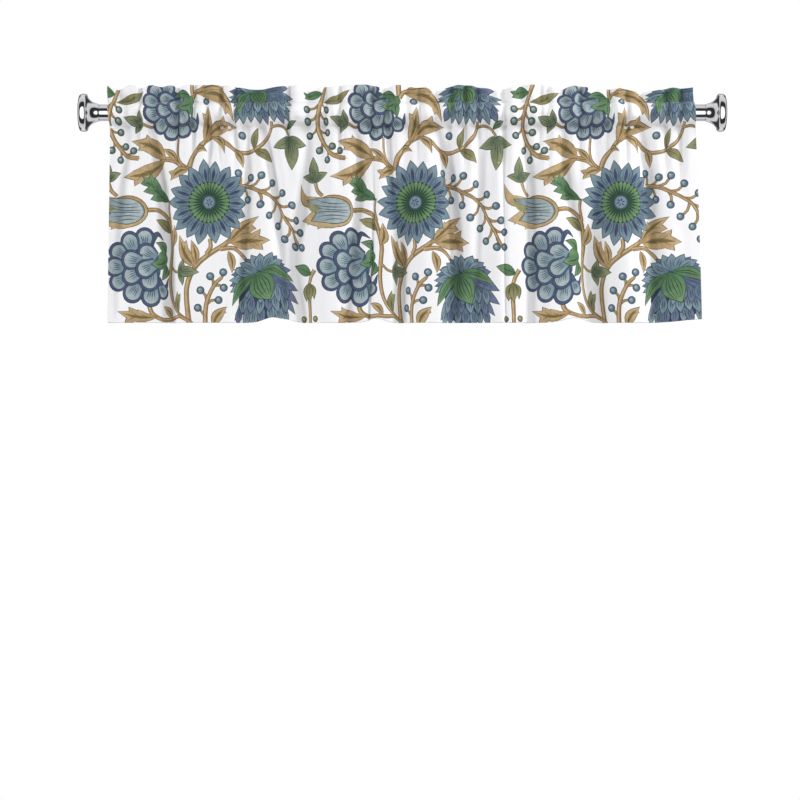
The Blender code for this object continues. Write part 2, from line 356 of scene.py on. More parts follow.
def closed(one_side, other_side=()):
    points = [*one_side, *other_side[::-1]]
    kept = [p for n, p in enumerate(points) if np.linalg.norm(p - points[n - 1]) > 1e-5]
    area = sum(kept[n - 1][0] * p[1] - p[0] * kept[n - 1][1] for n, p in enumerate(kept))
    return kept if area > 0 else kept[::-1]


def smooth_line(points, spans=4):
    """A smooth curve through the points."""
    p = np.asarray(points, float)
    p = np.vstack([2 * p[0] - p[1], p, 2 * p[-1] - p[-2]])
    t = np.linspace(0, 1, spans, endpoint=False)[:, None]
    runs = []
    for a, b, c, d in zip(p, p[1:], p[2:], p[3:]):
        runs.append(0.5 * (2 * b + (c - a) * t + (2 * a - 5 * b + 4 * c - d) * t**2
                           + (3 * b - a - 3 * c + d) * t**3))
    return np.vstack([*runs, p[-2:-1]])


def ribbon(points, widths, spans=4):
    """The outline of a line of changing width through the points."""
    line = smooth_line(points, spans)
    half = np.interp(np.linspace(0, 1, len(line)), np.linspace(0, 1, len(widths)), widths)[:, None] / 2
    along = np.gradient(line, axis=0)
    along /= np.linalg.norm(along, axis=1, keepdims=True)
    side = np.column_stack([-along[:, 1], along[:, 0]])
    return closed(line + side * half, line - side * half)


def along_blade(base, tip, bend, share, aside=0.0):
    """A point beside the middle line of a blade, and the blade's direction there."""
    base, tip = np.asarray(base, float), np.asarray(tip, float)
    run = tip - base
    side = np.array([-run[1], run[0]])
    point = base + run * share + side * bend * math.sin(math.pi * share)
    way = unit(run + side * bend * math.pi * math.cos(math.pi * share))
    return point + np.array([-way[1], way[0]]) * aside, way


def blade(base, tip, width, bend=0.0, fullest=0.45, grow=0.0, steps=7):
    """The outline of a pointed leaf or petal. Bend moves its middle to the left of its way."""
    base, tip = np.asarray(base, float), np.asarray(tip, float)
    along = unit(tip - base)
    side = np.array([-along[1], along[0]])
    base, tip = base - along * grow, tip + along * grow * 1.8
    t = np.linspace(0, 1, steps + 1)[:, None]
    middle = base + (tip - base) * t + side * bend * np.linalg.norm(tip - base) * np.sin(math.pi * t)
    half = (width / 2 + grow) * np.sin(math.pi * t ** (math.log(0.5) / math.log(fullest)))
    half[0] = half[-1] = 0
    return closed(middle + side * half, middle - side * half)


def oval(centre, width, height, steps=12, turn=0.0):
    a = np.linspace(0, 2 * math.pi, steps, endpoint=False)
    x, y = np.cos(a) * width / 2, np.sin(a) * height / 2
    c, s = math.cos(turn), math.sin(turn)
    return [np.array([centre[0] + p * c - q * s, centre[1] + p * s + q * c]) for p, q in zip(x, y)]


def shell(at, way, size, length=1.0, steps=11):
    """The outline of a scallop petal: a round end, and a narrower foot towards the flower's heart."""
    side = np.array([-way[1], way[0]])
    a = np.radians(np.linspace(-108, 108, steps))
    points = [at + size * (way * np.cos(v) + side * np.sin(v)) for v in a]
    foot = [at - way * size * length + side * size * s * 0.62 for s in (1, -1)]
    return closed(points + foot)


class FlowerPrint:
    """The patches of ink on the flat cloth. A later patch covers an earlier one."""

    def __init__(self):
        self.patches = []
        self.origin = np.zeros(2)
        self.chance = random.Random(4)

    def paint(self, outline, near, far=None, start=(0, 0), end=(1, 0)):
        place = [p + self.origin for p in outline]
        self.patches.append(Patch(place, near, far or near, self.origin + start, self.origin + end))

    def leaf(self, base, tip, width, bend, lobes, inks, heart=None):
        """A leaf with pointed lobes along both sides. The dark edge lies under all of the fills."""
        line, dark, light, vein = inks
        blades = [(base, tip, width, bend)]
        for share, side, reach in lobes:
            foot, way = along_blade(base, tip, bend, share)
            angle = math.degrees(math.atan2(way[1], way[0])) + side * 34
            reach *= LOBE_GROWTH
            blades.append((foot, foot + turned(angle) * reach, reach * 0.52, -side * 0.12))
        for foot, end, wide, curve in blades:
            self.paint(blade(foot, end, wide, curve, grow=LINE), line)
        for foot, end, wide, curve in blades:
            self.paint(blade(foot, end, wide, curve), dark, light, foot, end)
        if heart:
            foot, _ = along_blade(base, tip, bend, 0.12)
            end, _ = along_blade(base, tip, bend, 0.90)
            self.paint(blade(foot, end, width * 0.30, bend, .42), heart[0], heart[1], foot, end)
        for foot, end, wide, curve in blades:
            stop, _ = along_blade(foot, end, curve, 0.82)
            self.paint(blade(foot, stop, FINE_LINE, curve, steps=5), vein)

    def ivy(self, base, tip, size, inks):
        """A leaf of three pointed lobes."""
        base, tip = np.asarray(base, float), np.asarray(tip, float)
        run = tip - base
        angle = math.degrees(math.atan2(run[1], run[0]))
        lobes = [(base + turned(angle + turn) * size * reach * 0.04,
                  base + turned(angle + turn) * size * reach,
                  size * wide, curve)
                 for turn, reach, wide, curve in ((62, .62, .30, -.14), (-62, .62, .30, .14),
                                                  (0, 1.0, .44, .03))]
        line, dark, light, vein = inks
        for foot, end, wide, curve in lobes:
            self.paint(blade(foot, end, wide, curve, .42, LINE), line)
        for foot, end, wide, curve in lobes:
            self.paint(blade(foot, end, wide, curve, .42), dark, light, foot, end)
        for foot, end, wide, curve in lobes:
            for aside in (0, -1, 1):
                spread = aside * wide * 0.22
                start, way = along_blade(foot, end, curve, 0.10, spread * 0.4)
                stop, way = along_blade(foot, end, curve, 0.80 - 0.22 * abs(aside), spread)
                self.paint(blade(start, stop, FINE_LINE, curve, steps=4), vein)

    def stem(self, points, widths=(.006, .004)):
        self.paint(ribbon(points, [w + 2 * LINE for w in widths]), TAN_DARK)
        self.paint(ribbon(points, widths), TAN)
        lit = [np.asarray(p, float) + (-.0010, .0006) for p in points]
        self.paint(ribbon(lit, [w * 0.34 for w in widths], 3), TAN_LIGHT)
        shaded = [np.asarray(p, float) + (widths[0] * .34, -.0006) for p in points]
        self.paint(ribbon(shaded, [w * 0.20 for w in widths], 3), TAN_SHADE)

    def berry(self, at, size=.0160, inks=(BLUE_DARK, BLUE, PALE)):
        at = np.asarray(at, float)
        line, fill, lit = inks
        self.paint(oval(at, size, size, 13), line)
        self.paint(oval(at, size * 0.78, size * 0.80, 11), fill)
        self.paint(oval(at + (-.0008, .0008), size * 0.50, size * 0.52, 9), lit)
        self.paint(oval(at + (-.0016, .0018), size * 0.26, size * 0.22, 6, 0.6), PALE_LIGHT)

    def daisy(self, at, radius=.081, petals=18):
        at = np.asarray(at, float)
        self.paint(oval(at, radius * 1.30, radius * 1.30, 36), BLUE_DARK)
        for layer in (1, 0):
            for n in range(layer, petals, 2):
                way = turned(360 * n / petals + self.chance.uniform(-2.5, 2.5))
                reach = radius * (1.02 if layer else 0.98) * self.chance.uniform(.95, 1.03)
                width = radius * 0.29
                base, tip = at + way * radius * 0.34, at + way * reach
                self.paint(blade(base, tip, width, 0, .54, LINE, 8), BLUE_DARK)
                self.paint(blade(base, tip, width, 0, .54, 0, 8), BLUE, BLUE_LIGHT, base, tip)
                streak = at + way * radius * 0.48, at + way * radius * 0.84
                self.paint(blade(*streak, radius * 0.085, 0, .5, steps=5), VIOLET)
                for spread in (-0.085, 0.085):
                    foot = at + way * radius * 0.52
                    side = np.array([-way[1], way[0]]) * radius * spread
                    self.paint(blade(foot + side * .8, foot + side * 1.1 + way * radius * .26, FINE_LINE,
                                     steps=3), BLUE_DARK)
        self.paint(oval(at, radius * 1.01, radius * 1.01, 34), GREEN_DARK)
        for n in range(30):
            way = turned(360 * (n + 0.5) / 30)
            ray = at + way * radius * 0.16, at + way * radius * 0.515
            self.paint(blade(*ray, radius * 0.082, 0, .78, steps=6), GREEN, GREEN_LIGHT, *ray)
        self.paint(oval(at, radius * 0.34, radius * 0.34, 16), NAVY)
        self.paint(oval(at, radius * 0.28, radius * 0.28, 14), BLUE_LIGHT)
        for n in range(6):
            way = turned(60 * n + 15)
            self.paint(blade(at + way * .0015, at + way * .0092, .0026, steps=4), VIOLET)

    def scallop(self, at, way, size, length=1.0):
        """One round petal of the scalloped flower, opening along way, with a dark border."""
        side = np.array([-way[1], way[0]])
        self.paint(shell(at, way, size, length), NAVY_DARK)
        self.paint(shell(at - way * size * 0.02, way, size * 0.94, length), NAVY, PLUM,
                   at - way * size, at + way * size)
        inner = at - way * size * 0.09
        self.paint(shell(inner, way, size * 0.79, length * 1.15), NAVY_DARK)
        self.paint(shell(inner, way, size * 0.73, length * 1.25), BLUE_LIGHT, PALE_LIGHT,
                   at - way * size * .8, at + way * size * .5)
        for spread in (-0.75, -0.26, 0.24, 0.72):
            foot = inner - way * size * self.chance.uniform(.60, .80) + side * spread * size * 0.26
            head = inner + way * size * self.chance.uniform(.16, .48) + side * spread * size * 0.52
            self.paint(blade(foot, head, .0019, steps=4), PALE_LINE)

    def scallop_flower(self, heart, petals, horns, sepals, cup, behind):
        """Round petals, the outer ones first, that overlap inwards to a green cup on the right."""
        heart = np.asarray(heart, float)
        for points in horns:
            line = [heart + p for p in points]
            self.paint(ribbon(line, (.0135, .0145, .0105, .0016)), NAVY_DARK)
            self.paint(ribbon(line, (.0105, .0115, .0075, .0008)), NAVY, PLUM, line[0], line[-1])
        self.paint(oval(heart + behind[:2], behind[2], behind[3], 24), NAVY)
        for across, up, angle, size, length in petals:
            self.scallop(heart + (across, up), turned(angle), size * self.chance.uniform(.98, 1.03), length)
        self.paint(oval(heart + cup[0], cup[1] + 2 * LINE, cup[2] + 2 * LINE, 16), GREEN_DARK)
        for base, tip, breadth, bend in sepals:
            self.paint(blade(heart + base, heart + tip, breadth, bend, .45, LINE), GREEN_DARK)
        self.paint(oval(heart + cup[0], cup[1], cup[2], 16), GREEN, GREEN_LIGHT,
                   heart + cup[0] + (.012, -.012), heart + cup[0] + (-.012, .012))
        for base, tip, breadth, bend in sepals:
            base, tip = heart + base, heart + tip
            self.paint(blade(base, tip, breadth, bend, .45), GREEN, GREEN_LIGHT, base, tip)
            end, _ = along_blade(base, tip, bend, 0.8)
            self.paint(blade(base, end, breadth * 0.13, bend, .5, steps=5), GREEN_DARK)

    def petal(self, base, tip, width, bend=0.0, inks=(BLUE, BLUE_LIGHT)):
        """A pointed petal with a dark line round it, a pale edge and two lines along it."""
        base, tip = np.asarray(base, float), np.asarray(tip, float)
        self.paint(blade(base, tip, width, bend, .55, LINE, 6), NAVY_DARK)
        self.paint(blade(base, tip, width, bend, .55, 0, 6), inks[1])
        end, _ = along_blade(base, tip, bend, .84)
        self.paint(blade(base, end, width * .66, bend, .5, 0, 5), inks[0], inks[1], base, tip)
        for aside in (-0.15, 0.15):
            foot, _ = along_blade(base, tip, bend, .25, aside * width * .7)
            end, _ = along_blade(base, tip, bend, .76, aside * width)
            self.paint(blade(foot, end, .0015, bend, steps=3), NAVY_DARK)

    def dahlia(self, heart, body, tips, rows, sepals):
        """Pointed petals that stand up round the heart and hang below it in rows, under green sepals."""
        heart = np.asarray(heart, float)
        self.paint(oval(heart + body[:2], body[2], body[3], 28), NAVY_DARK)
        self.paint(oval(heart + (0, .002), .062, .036, 20), NAVY_DARK)
        for across, up, width, inks in tips:
            tip = heart + (across, up)
            self.petal(heart + (tip - heart) * .14, tip, width * 1.08, self.chance.uniform(-.05, .05), inks)
        for first, last, drop, count, reach, lean in rows:
            for n in range(count):
                share = n / (count - 1)
                base = heart + (first + (last - first) * share, drop)
                way = unit(np.array([lean * (share - 0.5), -1.0]))
                inks = (BLUE, PLUM_LIGHT) if self.chance.random() < 0.35 else (BLUE, BLUE_LIGHT)
                self.petal(base, base + way * reach * self.chance.uniform(.9, 1.1), .0155,
                           self.chance.uniform(-.06, .06), inks)
        for base, tip, width, bend in sepals:
            base, tip = heart + base, heart + tip
            self.paint(blade(base, tip, width, bend, .45, LINE, 8), GREEN_DARK)
            self.paint(blade(base, tip, width, bend, .45, 0, 8), GREEN, GREEN_LIGHT, base, tip)
            folds = (-.30, -.16, 0, .16, .30) if width > .03 else (-.12, .12)
            for aside in folds:
                foot, _ = along_blade(base, tip, bend, .08, aside * width * .3)
                middle, _ = along_blade(base, tip, bend, .45, aside * width)
                end, _ = along_blade(base, tip, bend, .84, aside * width * .55)
                self.paint(ribbon((foot, middle, end), (.0008, .0020, .0006), 3), GREEN_DARK)

    def tulip(self, at):
        """A closed bud that lies on its side, its round end to the right."""
        at = np.asarray(at, float)
        husk = (((.054, .002), (-.050, .031), .040, .10), ((.054, -.002), (-.022, -.035), .034, -.12),
                ((.050, .000), (-.058, -.018), .050, .00), ((-.026, .010), (-.064, .052), .017, .20),
                ((-.010, -.020), (-.046, -.026), .012, -.16))
        self.paint(oval(at + (.012, .000), .087, .064, 24), TAN_DARK)
        for base, tip, width, bend in husk:
            self.paint(blade(at + base, at + tip, width, bend, .4, LINE, 9), TAN_DARK)
        for base, tip, width, bend in husk:
            self.paint(blade(at + base, at + tip, width, bend, .4, 0, 9), TAN, TAN_LIGHT, at + base, at + tip)
        self.paint(oval(at + (.012, .000), .084, .061, 24), TAN_LIGHT, TAN, at + (0, -.03), at + (0, .03))
        inner = (((.046, .0), (-.047, .023), .046, .07), ((.046, -.002), (-.036, -.018), .042, -.07))
        self.paint(oval(at + (.012, .000), .074, .051, 22), OLIVE_DARK)
        for base, tip, width, bend in inner:
            self.paint(blade(at + base, at + tip, width, bend, .36, LINE * 1.4, 9), OLIVE_DARK)
        self.paint(oval(at + (.012, .000), .071, .048, 22), PALE, LILAC, at + (0, -.02), at + (0, .02))
        for base, tip, width, bend in inner:
            self.paint(blade(at + base, at + tip, width, bend, .36, 0, 9), LILAC, PALE_LIGHT,
                       at + (-.04, .012), at + (.03, -.012))
        self.paint(blade(at + (-.012, .006), at + (-.050, .020), .015, .16, .5), OLIVE, OLIVE_LIGHT,
                   at, at + (-.05, 0))
        for foot, head, bend in (((.036, .015), (-.028, .024), .07), ((.043, .009), (-.038, .015), .05),
                                 ((.047, .002), (-.026, .007), .03), ((.046, -.004), (-.036, -.003), -.03),
                                 ((.042, -.011), (-.028, -.012), -.05),
                                 ((.034, -.017), (-.014, -.020), -.07)):
            self.paint(blade(at + foot, at + head, .0019, bend, steps=6), LILAC_LINE)


# One repeat of the print. Places are across the flat cloth from the daisy's middle, and heights.
REPEAT = 0.4668
DAISY_AT = (0, -.175)
WIDE, MIDDLING, THIN = (.0090, .0070), (.0070, .0050), (.0040, .0032)
STEMS = (
    # main stem from the hem, its branch to the leaf, its arch to the dahlia and its branch to the daisy
    (((-.034, -.428), (-.042, -.360), (-.038, -.327), (-.022, -.298), (.002, -.277),
      (.030, -.259), (.046, -.246)),
     WIDE),
    (((.024, -.266), (.050, -.264), (.072, -.276), (.090, -.296)), MIDDLING),
    (((-.002, -.276), (.006, -.262), (.004, -.246)), MIDDLING),
    # the junction left of the daisy, up to the long leaves and over to the small flower
    (((-.044, -.112), (-.038, -.088), (-.022, -.068), (-.006, -.052)), WIDE),
    (((-.010, -.056), (.010, -.047), (.034, -.056), (.050, -.069), (.068, -.078), (.092, -.076),
      (.112, -.066),
      (.132, -.047), (.142, -.030), (.144, -.018)), MIDDLING),
    (((.140, -.029), (.158, -.026), (.172, -.032), (.182, -.046)), THIN),
    (((-.046, -.112), (-.070, -.096), (-.088, -.091), (-.112, -.090)), WIDE),
    (((-.050, -.108), (-.066, -.092), (-.072, -.073), (-.072, -.048)), THIN),
    # the berry stem at the left
    (((-.160, -.089), (-.184, -.084), (-.204, -.066), (-.217, -.044), (-.221, -.020), (-.214, .008),
      (-.205, .031), (-.196, .056), (-.190, .080)), MIDDLING),
    # the side stem that joins the bud, the green leaf and the lower flower
    (((-.143, -.190), (-.114, -.190), (-.090, -.206), (-.082, -.228), (-.080, -.262), (-.086, -.294),
      (-.089, -.326), (-.084, -.360), (-.070, -.384), (-.048, -.399), (-.030, -.410)), MIDDLING),
    (((-.084, -.170), (-.086, -.190), (-.082, -.214)), THIN),
    (((-.139, -.366), (-.132, -.390), (-.112, -.402), (-.088, -.402), (-.062, -.396),
      (-.044, -.402)), MIDDLING),
    (((-.084, -.300), (-.074, -.308), (-.062, -.310)), THIN),
    # the stem of the small ivy leaf, and the short one of the green leaf
    (((-.150, -.022), (-.136, -.028), (-.122, -.026)), THIN),
    # what stands between this repeat and the next
    (((.243, -.136), (.250, -.152), (.262, -.162)), MIDDLING),
    (((.234, -.306), (.226, -.318), (.220, -.334)), MIDDLING),
    (((.219, -.358), (.220, -.384), (.219, -.428)), MIDDLING),
    # the stems that rise to the top fold
    (((-.030, .030), (-.032, .052), (-.028, .078)), WIDE),
    (((-.030, .028), (-.020, .040), (-.006, .044)), MIDDLING),
)
SPRAY = ((.062, -.142), (.090, -.145), (.111, -.154), (.135, -.166), (.155, -.181), (.168, -.204),
         (.187, -.232),
         (.199, -.256))
SPRAY_BERRIES = ((.059, -.118), (.090, -.126), (.114, -.123), (.140, -.139), (.167, -.159), (.187, -.182),
                 (.198, -.210), (.207, -.233), (.083, -.169), (.112, -.180), (.130, -.204), (.153, -.225),
                 (.168, -.250), (.191, -.262), (.207, -.262))
SPRIG = ((-.004, -.428), (-.004, -.384), (.002, -.358), (.014, -.334), (.026, -.322))
SPRIG_BERRIES = ((.030, -.311), (.005, -.319), (.031, -.341), (-.014, -.346), (.021, -.365), (-.019, -.380))
SIDE_BERRIES = ((-.198, .003), (-.202, -.018), (-.199, -.039), (-.240, .004), (-.241, -.018), (-.238, -.045),
                (-.188, -.066), (-.217, -.074), (-.199, -.092), (-.171, -.074))
LONE_BERRIES = ((.076, -.045), (.000, .021))
END_BERRIES = ((.233, -.401), (.204, -.402))

TAN_INKS = (TAN_DARK, TAN, TAN_LIGHT, TAN_DARK)
OLIVE_INKS = (OLIVE_DARK, OLIVE, OLIVE_LIGHT, OLIVE_DARK)
GREEN_INKS = (GREEN_DARK, GREEN, GREEN_LIGHT, GREEN_DARK)
SAGE_INKS = (SAGE_DARK, SAGE, SAGE_LIGHT, SAGE_DARK)

TAN_BREADTH = 1.18

# Leaves: from, to, width, bend, and lobes as share of the way, side (left 1, right -1) and length
TAN_LEAVES = (
    ((.036, -.257), (.108, -.204), .020, .06, ((.42, -1, .034), (.30, 1, .022))),
    ((.044, -.254), (.130, -.254), .027, .05, ((.45, 1, .030), (.50, -1, .030), (.25, -1, .024))),
    ((-.024, -.302), (-.056, -.240), .019, .08, ((.45, -1, .022),)),
    ((-.022, -.296), (-.032, -.250), .012, -.06, ()),
    ((.040, -.270), (.047, -.311), .013, .10, ()),
    ((-.096, -.091), (-.190, -.124), .026, .10, ((.30, 1, .028), (.55, 1, .026), (.40, -1, .020))),
    ((-.094, -.090), (-.174, -.056), .026, -.08, ((.50, 1, .026), (.45, -1, .024))),
    ((-.070, -.096), (-.104, -.071), .009, -.10, ()),
    ((-.012, -.058), (.004, .008), .017, -.04, ((.45, 1, .022),)),
    ((-.004, -.050), (.064, -.030), .021, .16, ((.45, 1, .022), (.55, -1, .016))),
    ((.006, -.047), (.033, -.079), .012, .22, ()),
    ((.056, -.072), (.069, -.106), .012, .10, ()),
    ((-.028, -.080), (-.008, -.076), .010, .40, ()),
    ((-.044, -.111), (-.078, -.131), .015, -.16, ((.5, -1, .016),)),
    ((-.018, .036), (.059, -.018), .025, .26, ((.40, -1, .030), (.62, -1, .022), (.35, 1, .020))),
    ((-.016, .044), (.042, .046), .011, .10, ()),
    ((-.082, -.262), (-.072, -.219), .014, -.12, ()),
    ((-.122, -.398), (-.200, -.386), .016, .06, ((.38, -1, .026), (.45, 1, .026), (.2, -1, .022))),
    ((-.084, -.399), (-.106, -.378), .012, -.10, ()),
    ((.010, -.416), (.036, -.379), .017, .10, ((.5, -1, .014),)),
)
OLIVE_LEAVES = (
    ((-.083, -.234), (-.122, -.209), .018, -.10, ()),
    ((-.062, -.390), (-.066, -.348), .014, .08, ((.30, -1, .022),)),
    ((-.204, .019), (-.141, .044), .018, -.10, ((.5, 1, .012),)),
    ((.101, -.072), (.111, -.031), .013, .08, ()),
    ((.101, -.074), (.139, -.097), .018, .10, ()),
)
GREEN_LEAVES = (
    ((-.083, -.173), (-.149, -.124), .022, .06,
     ((.30, -1, .034), (.45, 1, .026), (.58, -1, .026), (.20, 1, .030), (.70, 1, .018))),
    ((.226, -.314), (.188, -.300), .021, -.04, ()),
    ((.176, -.033), (.200, -.018), .010, .08, ()),
    ((-.206, .040), (-.240, .030), .022, -.10, ((.5, -1, .016),)),
)
SAGE_LEAVES = (
    ((.182, -.046), (.187, -.118), .066),
    ((.243, -.136), (.236, -.082), .050),
    ((-.064, -.310), (-.022, -.311), .046),
    ((-.150, -.022), (-.190, -.010), .040),
)
BUD = (((.220, -.332), (.212, -.366), .014, -.12), ((.220, -.332), (.231, -.362), .012, .14),
       ((.220, -.332), (.221, -.368), .014, 0))

# Scallop petals: across and up from the flower's heart, the way each opens, its size and its length
LOWER_SCALLOPS = (
    (.004, -.062, 288, .0140, 1.0), (-.022, -.071, 262, .0200, 1.0), (-.034, .046, 94, .0194, 1.0),
    (-.058, -.063, 236, .0200, 1.0), (-.064, .038, 116, .0200, 1.0), (-.088, -.041, 206, .0194, 1.0),
    (-.089, .018, 150, .0194, 1.0), (-.097, -.011, 178, .0200, 1.0),
    (-.025, -.041, 256, .0200, 1.1), (-.031, .016, 148, .0194, 1.1), (-.061, -.029, 206, .0200, 1.1),
    (-.062, .002, 170, .0200, 1.1), (-.034, -.017, 208, .0194, 1.25),
)
LOWER_HORNS = (((-.026, .016), (-.021, .038), (-.008, .052), (.007, .040)),
               ((-.010, -.034), (.000, -.050), (.011, -.052), (.018, -.033)))
LOWER_SEPALS = (((.012, .010), (-.012, .034), .017, -.24), ((.014, .000), (-.021, -.006), .020, .10),
                ((.012, -.006), (.000, -.037), .015, .16))
UPPER_SCALLOPS = (
    (-.044, .030, 84, .0167, 1.0), (-.068, .024, 112, .0172, 1.0), (.010, -.044, 312, .0139, 1.0),
    (-.014, -.053, 284, .0175, 1.0), (-.042, -.057, 256, .0178, 1.0), (-.066, -.045, 220, .0172, 1.0),
    (-.082, -.023, 190, .0175, 1.0), (-.082, .003, 164, .0172, 1.0),
    (-.013, -.030, 270, .0172, 1.1), (-.038, -.034, 240, .0169, 1.1), (-.056, -.016, 196, .0172, 1.1),
    (-.050, .008, 156, .0167, 1.2), (-.030, -.009, 206, .0172, 1.7),
)
UPPER_HORNS = (((.004, -.034), (.012, -.040), (.022, -.038), (.026, -.022)),)
UPPER_SEPALS = (((.010, .006), (-.030, .012), .015, -.24), ((.012, .000), (-.024, -.010), .019, .10),
                ((.012, -.004), (.010, -.028), .014, -.16))

# Dahlia petals: tip across and up from the heart, width and inks; rows: from, to, height, how many,
# length and how much they fan out
COOL, SOFT = (BLUE, BLUE_LIGHT), (BLUE_DARK, BLUE)
DARK = (PLUM, PLUM_LIGHT)
CROWN = (
    (-.033, .031, .016, SOFT), (-.010, .033, .016, SOFT), (.011, .033, .016, SOFT), (.034, .031, .016, SOFT),
    (-.055, .014, .016, SOFT), (-.066, .000, .016, SOFT), (-.069, -.022, .016, SOFT),
    (.050, .016, .016, DARK),
    (-.068, -.034, .017, COOL), (-.070, -.011, .017, COOL), (-.060, .010, .017, COOL),
    (-.044, .023, .018, COOL),
    (-.019, .038, .017, COOL), (-.002, .039, .017, COOL), (.022, .037, .018, COOL), (.046, .024, .018, COOL),
    (.061, .006, .018, DARK),
)
LOWER_TIPS = CROWN + ((.067, -.079, .018, DARK), (.077, -.057, .019, DARK), (.077, -.031, .019, DARK),
                      (-.058, -.088, .018, (BLUE, PALE)))
LOWER_ROWS = ((-.040, .042, -.060, 7, .040, .6), (-.032, .040, -.040, 6, .038, .5),
              (.006, .044, -.022, 4, .036, .5))
LOWER_GREENS = (((-.012, .001), (-.064, -.060), .021, -.10), ((-.002, .005), (.066, -.016), .020, .10),
                ((-.008, .004), (.016, -.056), .048, -.05))
UPPER_TIPS = CROWN[:8] + CROWN[11:] + (
    (-.068, -.012, .013, COOL), (-.064, -.022, .013, COOL), (-.058, -.032, .014, COOL),
    (-.048, -.044, .015, COOL),
    (.076, -.016, .014, COOL), (.072, -.030, .015, COOL), (.066, -.042, .015, DARK),
    (.054, -.056, .016, DARK),
)
UPPER_ROWS = ((-.042, .046, -.026, 8, .038, .9), (-.034, .040, -.012, 6, .032, .9),
              (-.020, .036, .002, 4, .030, 1.0))
UPPER_GREENS = (((-.018, .004), (-.047, -.048), .018, -.10), ((-.008, .008), (.008, -.026), .038, .02))


def stalk(art, line, place, widths):
    """A berry's short stalk, which leaves the stem a little below the berry and bends up to it."""
    path = smooth_line(line, 6)
    place = np.asarray(place)
    nearest = int(np.argmin(np.linalg.norm(path - place, axis=1)))
    joint = path[max(nearest - 4, 0)]
    run = place - joint
    turn = 1 if run[0] * (path[nearest] - joint)[1] > run[1] * (path[nearest] - joint)[0] else -1
    middle = (joint + place) / 2 + np.array([-run[1], run[0]]) * 0.16 * turn
    line = (joint, middle, place)
    art.paint(ribbon(line, [w + 2 * LINE for w in widths], 2), TAN_DARK)
    art.paint(ribbon(line, widths, 2), TAN)


def draw_repeat(art):
    """One repeat of the print, from its stems up to its flowers."""
    for place in SPRAY_BERRIES:
        stalk(art, SPRAY, place, (.0038, .0030))
    for place in SPRIG_BERRIES:
        stalk(art, SPRIG, place, (.0038, .0030))
    for place in SIDE_BERRIES:
        stalk(art, STEMS[8][0][::-1], place, (.0030, .0024))
    for line, widths in STEMS:
        art.stem(line, widths)
    art.stem(SPRAY, (.0066, .0036))
    art.stem(SPRIG, (.0075, .0045))
    for place in SPRAY_BERRIES + SPRIG_BERRIES + LONE_BERRIES:
        art.berry(place)
    for place in SIDE_BERRIES:
        art.berry(place, .0150, (SAGE_DARK, SAGE, PALE))
    for place in END_BERRIES:
        art.berry(place, .0130, (OLIVE_DARK, OLIVE, OLIVE_LIGHT))
    for base, tip, width, bend, lobes in TAN_LEAVES:
        art.leaf(base, tip, width * TAN_BREADTH, bend, lobes, TAN_INKS, (OLIVE, TAN_SHADE))
    for leaf in OLIVE_LEAVES:
        art.leaf(*leaf, OLIVE_INKS)
    for leaf in GREEN_LEAVES:
        art.leaf(*leaf, GREEN_INKS)
    for base, tip, size in SAGE_LEAVES:
        art.ivy(base, tip, size, SAGE_INKS)
    for base, tip, width, bend in BUD:
        art.leaf(base, tip, width, bend, (), OLIVE_INKS)
    art.tulip((-.194, -.192))
    art.scallop_flower((-.046, .019), UPPER_SCALLOPS, UPPER_HORNS, UPPER_SEPALS, ((.006, .002), .022, .022),
                       (-.036, -.012, .078, .074))
    art.scallop_flower((-.112, -.288), LOWER_SCALLOPS, LOWER_HORNS, LOWER_SEPALS, ((.004, .004), .024, .028),
                       (-.046, -.013, .088, .096))
    art.dahlia((.123, .042), (.002, -.018, .104, .070), UPPER_TIPS, UPPER_ROWS, UPPER_GREENS)
    art.dahlia((.113, -.316), (.004, -.050, .104, .092), LOWER_TIPS, LOWER_ROWS, LOWER_GREENS)
    art.daisy(DAISY_AT)


# Where the middle daisy stands on the flat cloth
MIDDLE_DAISY = 0.6872


def draw_print():
    art = FlowerPrint()
    for n in (-2, -1, 0, 1, 2):
        art.origin = np.array([MIDDLE_DAISY + n * REPEAT, 0.0])
        draw_repeat(art)
    low = np.array([-SIDE_TURN, FLAT_BOTTOM])
    high = np.array([FLAT_WIDTH + SIDE_TURN, FLAT_TOP])
    return [p for p in art.patches
            if (np.max(p.outline, axis=0) > low).all() and (np.min(p.outline, axis=0) < high).all()]


GRID_ACROSS = 0.0043
GRID_UP = 0.0110
POCKET_UP = 0.0045
# The hanging grid turns its corners this far beyond each row of stitches
CORNER_BELOW_SEAM = 0.0005
CORNERS_ABOVE_TOP = (0.0006, 0.0016)
NEAR = 1e-5
SLACK = 0.00013
THINNING_ROUNDS = 4
ASTRAY = 0.00028
HALVING_ROUNDS = 4


def even_steps(low, high, step):
    return np.linspace(low, high, max(2, round((high - low) / step) + 1))


def cut_print(patches):
    """The flat cloth cut along the edges of every patch, and which patch is on top in each triangle.

    Patch numbers start at 1, and 0 is the bare ground.
    """
    left, right = -SIDE_TURN, FLAT_WIDTH + SIDE_TURN
    points = [(left, FLAT_BOTTOM), (right, FLAT_BOTTOM), (right, FLAT_TOP), (left, FLAT_TOP)]
    faces = [[0, 1, 2, 3]]
    for patch in patches:
        faces.append(list(range(len(points), len(points) + len(patch.outline))))
        points += [tuple(p) for p in patch.outline]
    flat, _, triangles, _, _, sources = delaunay_2d_cdt(points, [], faces, 1, 1e-6, True)
    kept = [(t, max(s)) for t, s in zip(triangles, sources) if 0 in s]
    return np.array(flat), np.array([t for t, _ in kept]), np.array([s for _, s in kept])


